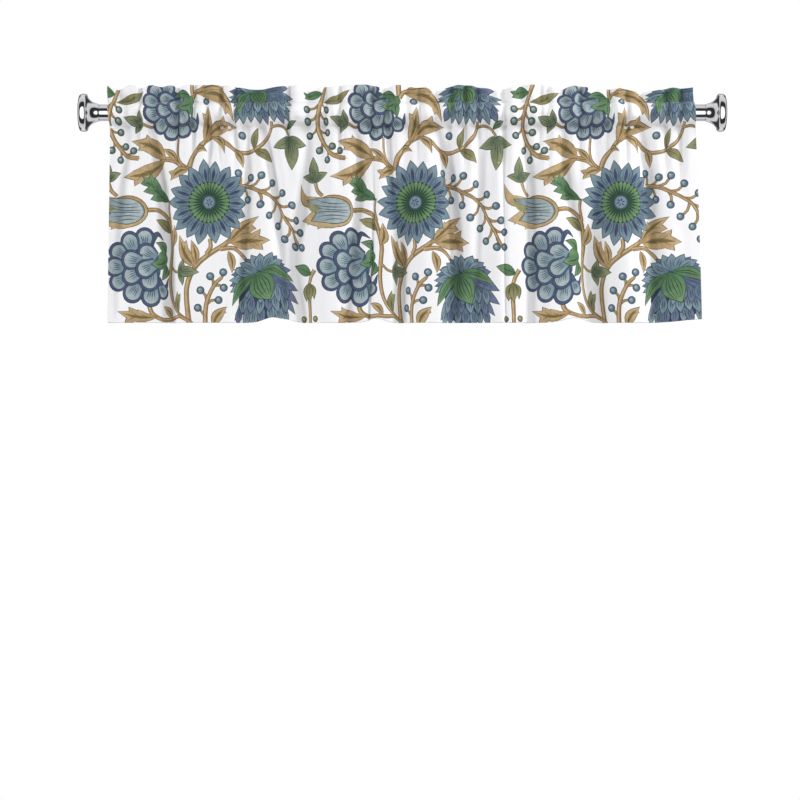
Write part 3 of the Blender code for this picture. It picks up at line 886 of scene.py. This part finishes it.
def showing_edges(patches, flat, triangles, tops):
    """The places and the edges at which one look of the print meets another."""
    plain = {}
    looks = [0]
    for n, patch in enumerate(patches, 1):
        looks.append(plain.setdefault(patch.near, n) if patch.near == patch.far else -n)
    look = np.tile(np.array(looks)[tops], 3)
    sides = np.concatenate([triangles[:, [0, 1]], triangles[:, [1, 2]], triangles[:, [2, 0]]])
    sides = np.sort(sides, axis=1)
    order = np.lexsort((sides[:, 1], sides[:, 0]))
    sides, look = sides[order], look[order]
    meet = (sides[1:] == sides[:-1]).all(axis=1) & (look[1:] != look[:-1])
    used, edges = np.unique(sides[1:][meet], return_inverse=True)
    return flat[used], edges.reshape(-1, 2)


def thin_out(places, edges):
    """Drops the places that hardly bend the line they are on, never two neighbours in one round."""
    for _ in range(THINNING_ROUNDS):
        ends = edges.ravel()
        order = np.argsort(ends, kind="stable")
        count = np.bincount(ends, minlength=len(places))
        on_line = np.flatnonzero(count == 2)
        at = (np.cumsum(count) - count)[on_line]
        first, second = order[at], order[at + 1]
        one, other = ends[first ^ 1], ends[second ^ 1]
        run = places[other] - places[one]
        lean = places[on_line] - places[one]
        length = np.maximum(np.linalg.norm(run, axis=1), 1e-9)
        bend = np.abs(run[:, 0] * lean[:, 1] - run[:, 1] * lean[:, 0]) / length
        rank = np.full(len(places), np.inf)
        drop = (bend < SLACK) & (length > SLACK)
        rank[on_line[drop]] = bend[drop] + on_line[drop] * 1e-12
        drop &= (rank[on_line] < rank[one]) & (rank[on_line] < rank[other])
        gone = np.unique(np.concatenate([first[drop] // 2, second[drop] // 2]))
        edges = np.concatenate([np.delete(edges, gone, axis=0), np.column_stack([one[drop], other[drop]])])
    used, edges = np.unique(edges, return_inverse=True)
    return places[used], edges.reshape(-1, 2)


def follow_folds(hanging, places, edges):
    """Halves the lines that would run straight through a fold, until the rest lie close to it."""
    for _ in range(HALVING_ROUNDS):
        one, other = places[edges[:, 0]], places[edges[:, 1]]
        middle = (one + other) / 2
        straight = (hanging.place(*one.T) + hanging.place(*other.T)) / 2
        astray = np.linalg.norm(hanging.place(*middle.T) - straight, axis=1) > ASTRAY
        new = np.arange(len(places), len(places) + astray.sum())
        places = np.concatenate([places, middle[astray]])
        edges = np.concatenate([edges[~astray], np.column_stack([edges[astray, 0], new]),
                                np.column_stack([new, edges[astray, 1]])])
    return places, edges


def cut_sheet(marks, lines):
    """The flat cloth as triangles on an even grid, cut along the lines between the marks too."""
    inside = even_steps(0, FLAT_WIDTH, GRID_ACROSS)
    columns = np.unique(np.round(np.concatenate([
        [-SIDE_TURN, -TURN_GAP, TURN_GAP], inside, [FLAT_WIDTH - TURN_GAP, FLAT_WIDTH + TURN_GAP],
        [FLAT_WIDTH + SIDE_TURN]]), 5))
    bend = np.array([-.0024, -.0012, 0, .0012, .0024])
    folds = np.concatenate([[HEM - TURN_GAP, HEM, HEM + TURN_GAP, SEAM, STITCH_TOP], HEADING_TOP + bend,
                            [2 * HEADING_TOP - STITCH_TOP, 2 * HEADING_TOP - SEAM]])
    beyond = [SEAM - CORNER_BELOW_SEAM] + [STITCH_TOP + rise for rise in CORNERS_ABOVE_TOP]
    heights = np.unique(np.round(np.concatenate([
        [FLAT_BOTTOM, (FLAT_BOTTOM + HEM) / 2], folds, beyond,
        [2 * HEADING_TOP - SEAM + CORNERS_ABOVE_TOP[1], 2 * HEADING_TOP - beyond[1], 2 * HEADING_TOP - beyond[2]],
        even_steps(HEM, beyond[0], GRID_UP), even_steps(SEAM, STITCH_TOP, POCKET_UP),
        even_steps(beyond[2], HEADING_TOP + bend[0], GRID_UP),
        even_steps(HEADING_TOP + bend[-1], 2 * HEADING_TOP - STITCH_TOP - CORNERS_ABOVE_TOP[1], GRID_UP),
        even_steps(2 * HEADING_TOP - STITCH_TOP, 2 * HEADING_TOP - SEAM, POCKET_UP), [FLAT_TOP]]), 5))
    points = [(u, v) for v in heights for u in columns]
    last = len(columns)
    lower = list(range(last))
    right = [n * last - 1 for n in range(2, len(heights) + 1)]
    upper = list(range(len(points) - 2, len(points) - last - 1, -1))
    left = [n * last for n in range(len(heights) - 2, 0, -1)]
    outline = lower + right + upper + left
    # the rows and columns where the cloth turns are edges of the triangles too
    edges = [(r * last + n, r * last + n + 1) for r, v in enumerate(heights)
             if np.abs(folds - v).min() < 2e-5 for n in range(last - 1)]
    edges += [(r * last + c, (r + 1) * last + c) for c in (1, 2, 3, last - 4, last - 3, last - 2)
              for r in range(len(heights) - 1)]
    edges += [(a + len(points), b + len(points)) for a, b in lines]
    points += [tuple(p) for p in marks]
    flat, _, triangles, _, _, _ = delaunay_2d_cdt(points, edges, [outline], 1, NEAR, True)
    return np.array(flat), np.array(triangles)


def print_colours(patches, tops, places):
    """The ink at each flat place, with 1 as its fourth value where there is ink."""
    near = np.array([WHITE] + [p.near for p in patches])
    far = np.array([WHITE] + [p.far for p in patches])
    start = np.array([(0, 0)] + [p.start for p in patches])
    run = np.array([(1, 0)] + [p.end for p in patches]) - start
    share = ((places - start[tops]) * run[tops]).sum(axis=1) / (run[tops] ** 2).sum(axis=1)
    share = np.clip(share, 0, 1)[:, None]
    return np.column_stack([near[tops] * (1 - share) + far[tops] * share, tops > 0])


def printed_way(hanging, flat):
    """The way in which the printed face points at flat places, on the turned hems too."""
    across, up = flat.T
    step = TURN_GAP / 2
    right = hanging.place(across + step, up) - hanging.place(across - step, up)
    rise = hanging.place(across, up + step) - hanging.place(across, up - step)
    way = np.cross(right, rise)
    return way / np.linalg.norm(way, axis=1, keepdims=True)


def cloth_weave(nodes, links, uv):
    """A plain weave as a height from 0 to 1, on the cloth's flat places."""
    parts = nodes.new("ShaderNodeSeparateXYZ")
    links.new(uv, parts.inputs[0])
    threads = []
    for axis in (0, 1):
        wave = nodes.new("ShaderNodeMath")
        wave.operation = "MULTIPLY"
        wave.inputs[1].default_value = 2 * math.pi / 0.0008
        links.new(parts.outputs[axis], wave.inputs[0])
        sine = nodes.new("ShaderNodeMath")
        sine.operation = "SINE"
        links.new(wave.outputs[0], sine.inputs[0])
        threads.append(sine)
    both = nodes.new("ShaderNodeMath")
    both.operation = "MULTIPLY"
    links.new(threads[0].outputs[0], both.inputs[0])
    links.new(threads[1].outputs[0], both.inputs[1])
    return both.outputs[0]


def cloth_material(name, fade):
    """Printed cotton. The fade is how far the ink pales on this side of the cloth."""
    material = bpy.data.materials.new(name)
    material.use_nodes = True
    nodes, links = material.node_tree.nodes, material.node_tree.links
    shader = nodes["Principled BSDF"]
    shader.inputs["Roughness"].default_value = 0.88
    shader.inputs["Specular IOR Level"].default_value = 0.22
    shader.inputs["Sheen Weight"].default_value = 0.12
    shader.inputs["Sheen Roughness"].default_value = 0.5
    colour = nodes.new("ShaderNodeAttribute")
    colour.attribute_name = "ink"
    uv = nodes.new("ShaderNodeUVMap")
    uv.uv_map = "flat"
    slub = nodes.new("ShaderNodeTexNoise")
    slub.inputs["Scale"].default_value = 420
    slub.inputs["Detail"].default_value = 3
    links.new(uv.outputs[0], slub.inputs["Vector"])
    wash = nodes.new("ShaderNodeTexNoise")
    wash.inputs["Scale"].default_value = 95
    wash.inputs["Detail"].default_value = 4
    links.new(uv.outputs[0], wash.inputs["Vector"])
    tone = nodes.new("ShaderNodeMapRange")
    tone.inputs["From Min"].default_value = 0.3
    tone.inputs["From Max"].default_value = 0.7
    tone.inputs["To Min"].default_value = 0.82
    tone.inputs["To Max"].default_value = 1.14
    links.new(wash.outputs["Fac"], tone.inputs["Value"])
    washed = nodes.new("ShaderNodeMix")
    washed.data_type = "RGBA"
    washed.blend_type = "MULTIPLY"
    links.new(colour.outputs["Alpha"], washed.inputs["Factor"])
    links.new(colour.outputs["Color"], washed.inputs[6])
    links.new(tone.outputs[0], washed.inputs[7])
    lightest = nodes.new("ShaderNodeMix")
    lightest.data_type = "RGBA"
    lightest.blend_type = "DARKEN"
    lightest.inputs["Factor"].default_value = 1
    lightest.inputs[7].default_value = (*WHITE, 1)
    links.new(washed.outputs[2], lightest.inputs[6])
    ground = nodes.new("ShaderNodeMix")
    ground.data_type = "RGBA"
    ground.inputs["Factor"].default_value = fade
    ground.inputs[7].default_value = (*WHITE, 1)
    links.new(lightest.outputs[2], ground.inputs[6])
    links.new(ground.outputs[2], shader.inputs["Base Color"])
    weave = cloth_weave(nodes, links, uv.outputs[0])
    height = nodes.new("ShaderNodeMath")
    height.operation = "MULTIPLY_ADD"
    height.inputs[1].default_value = 0.5
    links.new(weave, height.inputs[0])
    links.new(slub.outputs["Fac"], height.inputs[2])
    relief = nodes.new("ShaderNodeBump")
    relief.inputs["Strength"].default_value = 0.25
    relief.inputs["Distance"].default_value = 0.0002
    links.new(height.outputs[0], relief.inputs["Height"])
    links.new(relief.outputs[0], shader.inputs["Normal"])
    return material


def select_none():
    bpy.ops.object.select_all(action="DESELECT")


def make_valance(hanging):
    """One closed sheet: the printed face is cut along its print, the reverse is an even grid."""
    patches = draw_print()
    drawn, pieces, top_of_piece = cut_print(patches)
    where = BVHTree.FromPolygons([(*p, 0) for p in drawn], pieces.tolist(), all_triangles=True)

    def tops(places):
        found = []
        for x, y in places:
            piece = where.ray_cast((x, y, 1), (0, 0, -1))[2]
            found.append(where.find_nearest((x, y, 0))[2] if piece is None else piece)
        return top_of_piece[found]

    outlines = thin_out(*showing_edges(patches, drawn, pieces, top_of_piece))
    flat, face = cut_sheet(*follow_folds(hanging, *outlines))
    sides = np.concatenate([face[:, [0, 1]], face[:, [1, 2]], face[:, [2, 0]]])
    _, first, count = np.unique(np.sort(sides, axis=1), axis=0, return_index=True, return_counts=True)
    rim = sides[first[count == 1]]
    edge = np.unique(rim)
    back_flat, back_face = cut_sheet(flat[edge], [])
    behind = {}
    for n in edge:
        behind[n] = len(flat) + int(np.argmin(np.abs(back_flat - flat[n]).sum(axis=1)))

    all_flat = np.concatenate([flat, back_flat])
    way = printed_way(hanging, all_flat)
    side = np.where(np.arange(len(all_flat)) < len(flat), 1, -1)[:, None]
    points = hanging.place(*all_flat.T) + way * side * SHEET / 2
    back_turned = back_face[:, ::-1] + len(flat)
    rim_faces = [[b, a, behind[a], behind[b]] for a, b in rim]
    rim_faces = [list(dict.fromkeys(f)) for f in rim_faces]
    mesh = bpy.data.meshes.new("valance_cloth")
    mesh.from_pydata(points.tolist(), [], face.tolist() + back_turned.tolist() + rim_faces)

    corners = np.empty(len(mesh.loops), int)
    mesh.loops.foreach_get("vertex_index", corners)
    top = np.concatenate([np.repeat(tops(flat[face].mean(axis=1)), 3), tops(all_flat[corners[face.size:]])])
    colours = mesh.color_attributes.new("ink", "FLOAT_COLOR", "CORNER")
    colours.data.foreach_set("color", print_colours(patches, top, all_flat[corners]).ravel())
    uv = mesh.uv_layers.new(name="flat")
    uv.data.foreach_set("uv", all_flat[corners].ravel())
    mesh.polygons.foreach_set("material_index", [0] * len(face) + [1] * (len(back_face) + len(rim_faces)))
    mesh.shade_smooth()
    mesh.normals_split_custom_set_from_vertices((way * side).tolist())
    mesh.materials.append(cloth_material("printed face", 0.0))
    mesh.materials.append(cloth_material("cloth reverse", 0.72))
    cloth = bpy.data.objects.new("valance_cloth", mesh)
    bpy.context.scene.collection.objects.link(cloth)
    print("cloth:", len(patches), "patches,", len(face), "front,", len(back_face), "back,", len(rim), "rim")
    return cloth


STITCH_STEP, STITCH_LENGTH, THREAD = 0.0030, 0.0023, 0.00030


def thread_material():
    """Pale grey sewing thread with the slant of its twist, and painted shade in the twist's grooves."""
    material = bpy.data.materials.new("pale thread")
    material.use_nodes = True
    nodes, links = material.node_tree.nodes, material.node_tree.links
    shader = nodes["Principled BSDF"]
    shader.inputs["Roughness"].default_value = 0.62
    shader.inputs["Sheen Weight"].default_value = 0.2
    place = nodes.new("ShaderNodeTexCoord")
    twist = nodes.new("ShaderNodeTexWave")
    twist.bands_direction = "DIAGONAL"
    twist.inputs["Scale"].default_value = 900
    twist.inputs["Distortion"].default_value = 1.5
    links.new(place.outputs["Object"], twist.inputs["Vector"])
    # painted shade: the twist's grooves are painted darker grey and its ridges lighter, following the same wave
    # as the bump
    tone = nodes.new("ShaderNodeMix")
    tone.data_type = "RGBA"
    tone.inputs[6].default_value = (*ink(176, 178, 178), 1)
    tone.inputs[7].default_value = (*ink(204, 205, 205), 1)
    links.new(twist.outputs["Fac"], tone.inputs["Factor"])
    links.new(tone.outputs[2], shader.inputs["Base Color"])
    relief = nodes.new("ShaderNodeBump")
    relief.inputs["Strength"].default_value = 0.5
    relief.inputs["Distance"].default_value = 0.0001
    links.new(twist.outputs["Fac"], relief.inputs["Height"])
    links.new(relief.outputs[0], shader.inputs["Normal"])
    return material


def stitch_rows():
    """Each row as where its stitches start and end on the flat cloth, and how far off it they lie."""
    proud = SHEET / 2
    behind_hem = -(TURN_GAP + proud)
    starts = np.arange(STITCH_STEP, FLAT_WIDTH - STITCH_STEP, STITCH_STEP)
    for height, out in ((SEAM, proud), (2 * HEADING_TOP - SEAM, proud),
                        (2 * HEADING_TOP - STITCH_TOP, proud), (HEM + HEM_TURN - .002, behind_hem)):
        level = np.full_like(starts, height)
        yield starts, level, starts + STITCH_LENGTH, level, out
    rises = np.arange(HEM + STITCH_STEP, SEAM - 2 * STITCH_STEP, STITCH_STEP)
    for across in (SIDE_TURN - .0015, FLAT_WIDTH - SIDE_TURN + .0015):
        level = np.full_like(rises, across)
        yield level, rises, level, rises + STITCH_LENGTH, behind_hem


def make_stitches(hanging):
    """Each stitch is a short thread, four-sided, drawn down to a point at both ends."""
    points, faces = [], []
    ring = ((0, 1), (1, 0), (0, -1), (-1, 0))
    for across, up, end_across, end_up, out in stitch_rows():
        start = hanging.place(across, up, out)
        end = hanging.place(end_across, end_up, out)
        lift = hanging.place(across, up, out + math.copysign(THREAD, out)) - start
        lift /= np.linalg.norm(lift, axis=1, keepdims=True)
        way = end - start
        side = np.cross(way, lift)
        side /= np.linalg.norm(side, axis=1, keepdims=True)
        middle, half = (start + end) / 2, way / 2
        for m, h, s, n in zip(middle, half, side, lift):
            first = len(points)
            points.append(m - h)
            for share in (-0.55, 0.55):
                points += [m + h * share + (s * a + n * b) * THREAD / 2 for a, b in ring]
            points.append(m + h)
            for k in range(4):
                j = (k + 1) % 4
                faces.append((first, first + 1 + j, first + 1 + k))
                faces.append((first + 1 + k, first + 1 + j, first + 5 + j, first + 5 + k))
                faces.append((first + 5 + k, first + 5 + j, first + 9))
    mesh = bpy.data.meshes.new("stitching")
    mesh.from_pydata([tuple(p) for p in points], [], faces)
    mesh.materials.append(thread_material())
    stitching = bpy.data.objects.new("stitching", mesh)
    bpy.context.scene.collection.objects.link(stitching)
    select_none()
    stitching.select_set(True)
    bpy.context.view_layer.objects.active = stitching
    bpy.ops.object.mode_set(mode="EDIT")
    bpy.ops.mesh.select_all(action="SELECT")
    bpy.ops.mesh.normals_make_consistent(inside=False)
    bpy.ops.object.mode_set(mode="OBJECT")
    bpy.ops.object.shade_smooth()
    print("stitches:", len(points) // 10)
    return stitching


def chrome_material():
    material = bpy.data.materials.new("polished chrome")
    material.use_nodes = True
    nodes, links = material.node_tree.nodes, material.node_tree.links
    shader = nodes["Principled BSDF"]
    shader.inputs["Base Color"].default_value = (0.86, 0.865, 0.88, 1)
    shader.inputs["Metallic"].default_value = 1
    place = nodes.new("ShaderNodeTexCoord")
    smudge = nodes.new("ShaderNodeTexNoise")
    smudge.inputs["Scale"].default_value = 35
    smudge.inputs["Detail"].default_value = 5
    links.new(place.outputs["Object"], smudge.inputs["Vector"])
    gloss = nodes.new("ShaderNodeMapRange")
    gloss.inputs["From Min"].default_value = 0.35
    gloss.inputs["From Max"].default_value = 0.75
    gloss.inputs["To Min"].default_value = 0.045
    gloss.inputs["To Max"].default_value = 0.11
    links.new(smudge.outputs["Fac"], gloss.inputs["Value"])
    links.new(gloss.outputs[0], shader.inputs["Roughness"])
    return material


# A finial's outline from its outer face to the rod, as radius and depth
FINIAL_OUTLINE = (
    (.0255, 0), (.0300, .0005), (.0332, .0014), (.0352, .0027), (.0362, .0044), (.0367, .0070),
    (.0369, .0095), (.0368, .0125), (.0362, .0145), (.0350, .0158), (.0338, .0164), (.0322, .0167),
    (.0304, .0174), (.0286, .0184), (.0267, .0200), (.0243, .0222), (.0221, .0250), (.0203, .0283),
    (.0187, .0322), (.0175, .0360), (.0167, .0385), (.0163, .0392), (.0161, FINIAL_LENGTH),
)


def make_finial(name, side, chrome):
    """A ring of points at the outer face, drawn out along the rod and scaled at each step."""
    select_none()
    radius, depth = FINIAL_OUTLINE[0]
    bpy.ops.mesh.primitive_circle_add(
        vertices=72, radius=radius, fill_type="NOTHING", location=(side * SPAN / 2, 0, 0),
        rotation=(0, side * math.pi / 2, 0))
    finial = bpy.context.object
    finial.name = finial.data.name = name
    bpy.ops.object.transform_apply(location=True, rotation=True, scale=True)
    bpy.ops.object.mode_set(mode="EDIT")
    for wider, deeper in FINIAL_OUTLINE[1:]:
        bpy.ops.mesh.extrude_region_move(
            TRANSFORM_OT_translate={"value": (-side * (deeper - depth), 0, 0)})
        bpy.ops.transform.resize(value=(1, wider / radius, wider / radius),
                                 center_override=(side * (SPAN / 2 - deeper), 0, 0))
        radius, depth = wider, deeper
    bpy.ops.mesh.edge_face_add()
    bpy.ops.mesh.select_all(action="DESELECT")
    bpy.ops.object.mode_set(mode="OBJECT")
    outer = side * SPAN / 2
    for vertex in finial.data.vertices:
        vertex.select = abs(vertex.co.x - outer) < 1e-5
    bpy.ops.object.mode_set(mode="EDIT")
    bpy.ops.mesh.edge_face_add()
    bpy.ops.mesh.inset(thickness=.004)
    bpy.ops.mesh.inset(thickness=.010)
    bpy.ops.mesh.select_all(action="SELECT")
    bpy.ops.mesh.normals_make_consistent(inside=False)
    bpy.ops.object.mode_set(mode="OBJECT")
    bpy.ops.object.shade_smooth_by_angle(angle=math.radians(40))
    finial.data.materials.append(chrome)
    return finial


def make_rod(chrome):
    """The plain bar, with the small chamfer of its rolled ends."""
    select_none()
    length = SPAN - 2 * FINIAL_LENGTH - .0006
    bpy.ops.mesh.primitive_cylinder_add(
        vertices=96, radius=ROD_RADIUS, depth=length, rotation=(0, math.pi / 2, 0))
    rod = bpy.context.object
    rod.name = rod.data.name = "curtain_rod"
    bpy.ops.object.transform_apply(location=True, rotation=True, scale=True)
    bevel = rod.modifiers.new("rolled ends", "BEVEL")
    bevel.width = .0008
    bevel.segments = 2
    bevel.limit_method = "ANGLE"
    bpy.ops.object.modifier_apply(modifier=bevel.name)
    bpy.ops.object.shade_smooth_by_angle(angle=math.radians(40))
    rod.data.materials.append(chrome)
    return rod


# The camera and the light
PIXEL = 0.00194
PICTURE = 800
MIDDLE_PIXEL = (402.3, 111.9)
DISTANCE = 5.0
SENSOR = 36


def make_camera():
    data = bpy.data.cameras.new("camera")
    data.sensor_width = SENSOR
    data.lens = SENSOR * DISTANCE / (PICTURE * PIXEL)
    data.clip_end = 60
    camera = bpy.data.objects.new("camera", data)
    camera.location = ((PICTURE / 2 - MIDDLE_PIXEL[0]) * PIXEL, -DISTANCE - .015,
                       (MIDDLE_PIXEL[1] - PICTURE / 2) * PIXEL)
    camera.rotation_euler = (math.pi / 2, 0, 0)
    bpy.context.scene.collection.objects.link(camera)
    bpy.context.scene.camera = camera


def make_light(name, place, aim, size, power):
    data = bpy.data.lights.new(name, "AREA")
    data.shape = "DISK"
    data.size = size
    data.energy = power
    light = bpy.data.objects.new(name, data)
    light.location = place
    way = np.array(aim) - np.array(place)
    light.rotation_euler = (math.acos(-way[2] / np.linalg.norm(way)), 0, math.atan2(-way[0], way[1]))
    light.visible_glossy = False
    bpy.context.scene.collection.objects.link(light)


# How bright the room looks to what shines, by how far towards the back of the room it looks: -1 is
# straight at the camera, 1 straight at the wall. It is dark to both sides of the wall.
FRONT_TO_BACK = ((-1, 1.3), (-.83, 1.3), (-.77, .03), (-.36, .03), (-.26, .60), (.10, .72), (.60, .80),
                 (.88, .42), (1, .25))
LOWER_BY = 0.10
SIDE_FROM, SIDE_TO = .22, .38
WALL_FROM, WALL_TO = .30, .50
SIDE_DARK = .04
DAYLIGHT = 0.66


def rising(nodes, links, value, low, high):
    """A share that grows from 0 to 1 as the value goes from low to high."""
    share = nodes.new("ShaderNodeMapRange")
    share.inputs["From Min"].default_value = low
    share.inputs["From Max"].default_value = high
    links.new(value, share.inputs["Value"])
    return share.outputs[0]


def make_world():
    """A pale room. What shines sees it as in a studio: bright in front, then a dark band, then grey."""
    world = bpy.data.worlds.new("pale room")
    bpy.context.scene.world = world
    world.use_nodes = True
    nodes, links = world.node_tree.nodes, world.node_tree.links
    back = nodes["Background"]
    place = nodes.new("ShaderNodeTexCoord")
    parts = nodes.new("ShaderNodeSeparateXYZ")
    links.new(place.outputs["Generated"], parts.inputs[0])
    lowered = nodes.new("ShaderNodeMath")
    lowered.operation = "MULTIPLY_ADD"
    lowered.inputs[1].default_value = LOWER_BY
    links.new(parts.outputs[2], lowered.inputs[0])
    links.new(parts.outputs[1], lowered.inputs[2])
    sideways = nodes.new("ShaderNodeMath")
    sideways.operation = "ABSOLUTE"
    links.new(parts.outputs[0], sideways.inputs[0])
    bands = nodes.new("ShaderNodeValToRGB")
    links.new(rising(nodes, links, lowered.outputs[0], -1, 1), bands.inputs["Fac"])
    for n, (place, grey) in enumerate(FRONT_TO_BACK):
        position = (place + 1) / 2
        stop = bands.color_ramp.elements[n] if n < 2 else bands.color_ramp.elements.new(position)
        stop.position = position
        stop.color = (grey, grey, grey * 1.01, 1)
    beside = nodes.new("ShaderNodeMath")
    beside.operation = "MULTIPLY"
    links.new(rising(nodes, links, sideways.outputs[0], SIDE_FROM, SIDE_TO), beside.inputs[0])
    links.new(rising(nodes, links, parts.outputs[1], WALL_FROM, WALL_TO), beside.inputs[1])
    room = nodes.new("ShaderNodeMix")
    room.data_type = "RGBA"
    links.new(beside.outputs[0], room.inputs["Factor"])
    links.new(bands.outputs["Color"], room.inputs[6])
    room.inputs[7].default_value = (SIDE_DARK, SIDE_DARK, SIDE_DARK, 1)
    path = nodes.new("ShaderNodeLightPath")
    seen = nodes.new("ShaderNodeMix")
    seen.data_type = "RGBA"
    seen.inputs[6].default_value = (1, 1, 1, 1)
    links.new(path.outputs["Is Glossy Ray"], seen.inputs["Factor"])
    links.new(room.outputs[2], seen.inputs[7])
    links.new(seen.outputs[2], back.inputs["Color"])
    either = nodes.new("ShaderNodeMath")
    either.operation = "MAXIMUM"
    links.new(path.outputs["Is Camera Ray"], either.inputs[0])
    links.new(path.outputs["Is Glossy Ray"], either.inputs[1])
    strength = nodes.new("ShaderNodeMapRange")
    strength.inputs["To Min"].default_value = DAYLIGHT
    strength.inputs["To Max"].default_value = 1.0
    links.new(either.outputs[0], strength.inputs["Value"])
    links.new(strength.outputs[0], back.inputs["Strength"])


def make_floor():
    select_none()
    bpy.ops.mesh.primitive_plane_add(size=3.0, location=(0, 0, -1.62))
    floor = bpy.context.object
    floor.name = "floor"
    material = bpy.data.materials.new("pale floor")
    material.use_nodes = True
    shader = material.node_tree.nodes["Principled BSDF"]
    shader.inputs["Base Color"].default_value = (0.82, 0.82, 0.82, 1)
    shader.inputs["Roughness"].default_value = 0.7
    floor.data.materials.append(material)
    floor.visible_glossy = False


make_camera()
make_world()
make_light("window at the right", (2.80, -1.02, 1.00), (0, 0, -.24), .9, 62)
make_light("lamp in front", (1.41, -2.01, 1.30), (0, 0, -.24), .9, 24)
make_light("lamp at the left", (-3.00, -1.09, -.20), (0, 0, -.24), .9, 46)
make_floor()
bpy.context.scene.view_settings.view_transform = "Standard"

hanging = Hanging()
cloth = make_valance(hanging)
cloth.visible_glossy = False
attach(cloth, "root")
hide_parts("valance")

stitching = make_stitches(hanging)
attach(stitching, "root")

chrome = chrome_material()
rod = make_rod(chrome)
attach(rod, "root")
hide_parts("rod")
for name, side in (("finial_left", -1), ("finial_right", 1)):
    finial = make_finial("chrome_" + name, side, chrome)
    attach(finial, "root")
    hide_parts(name)
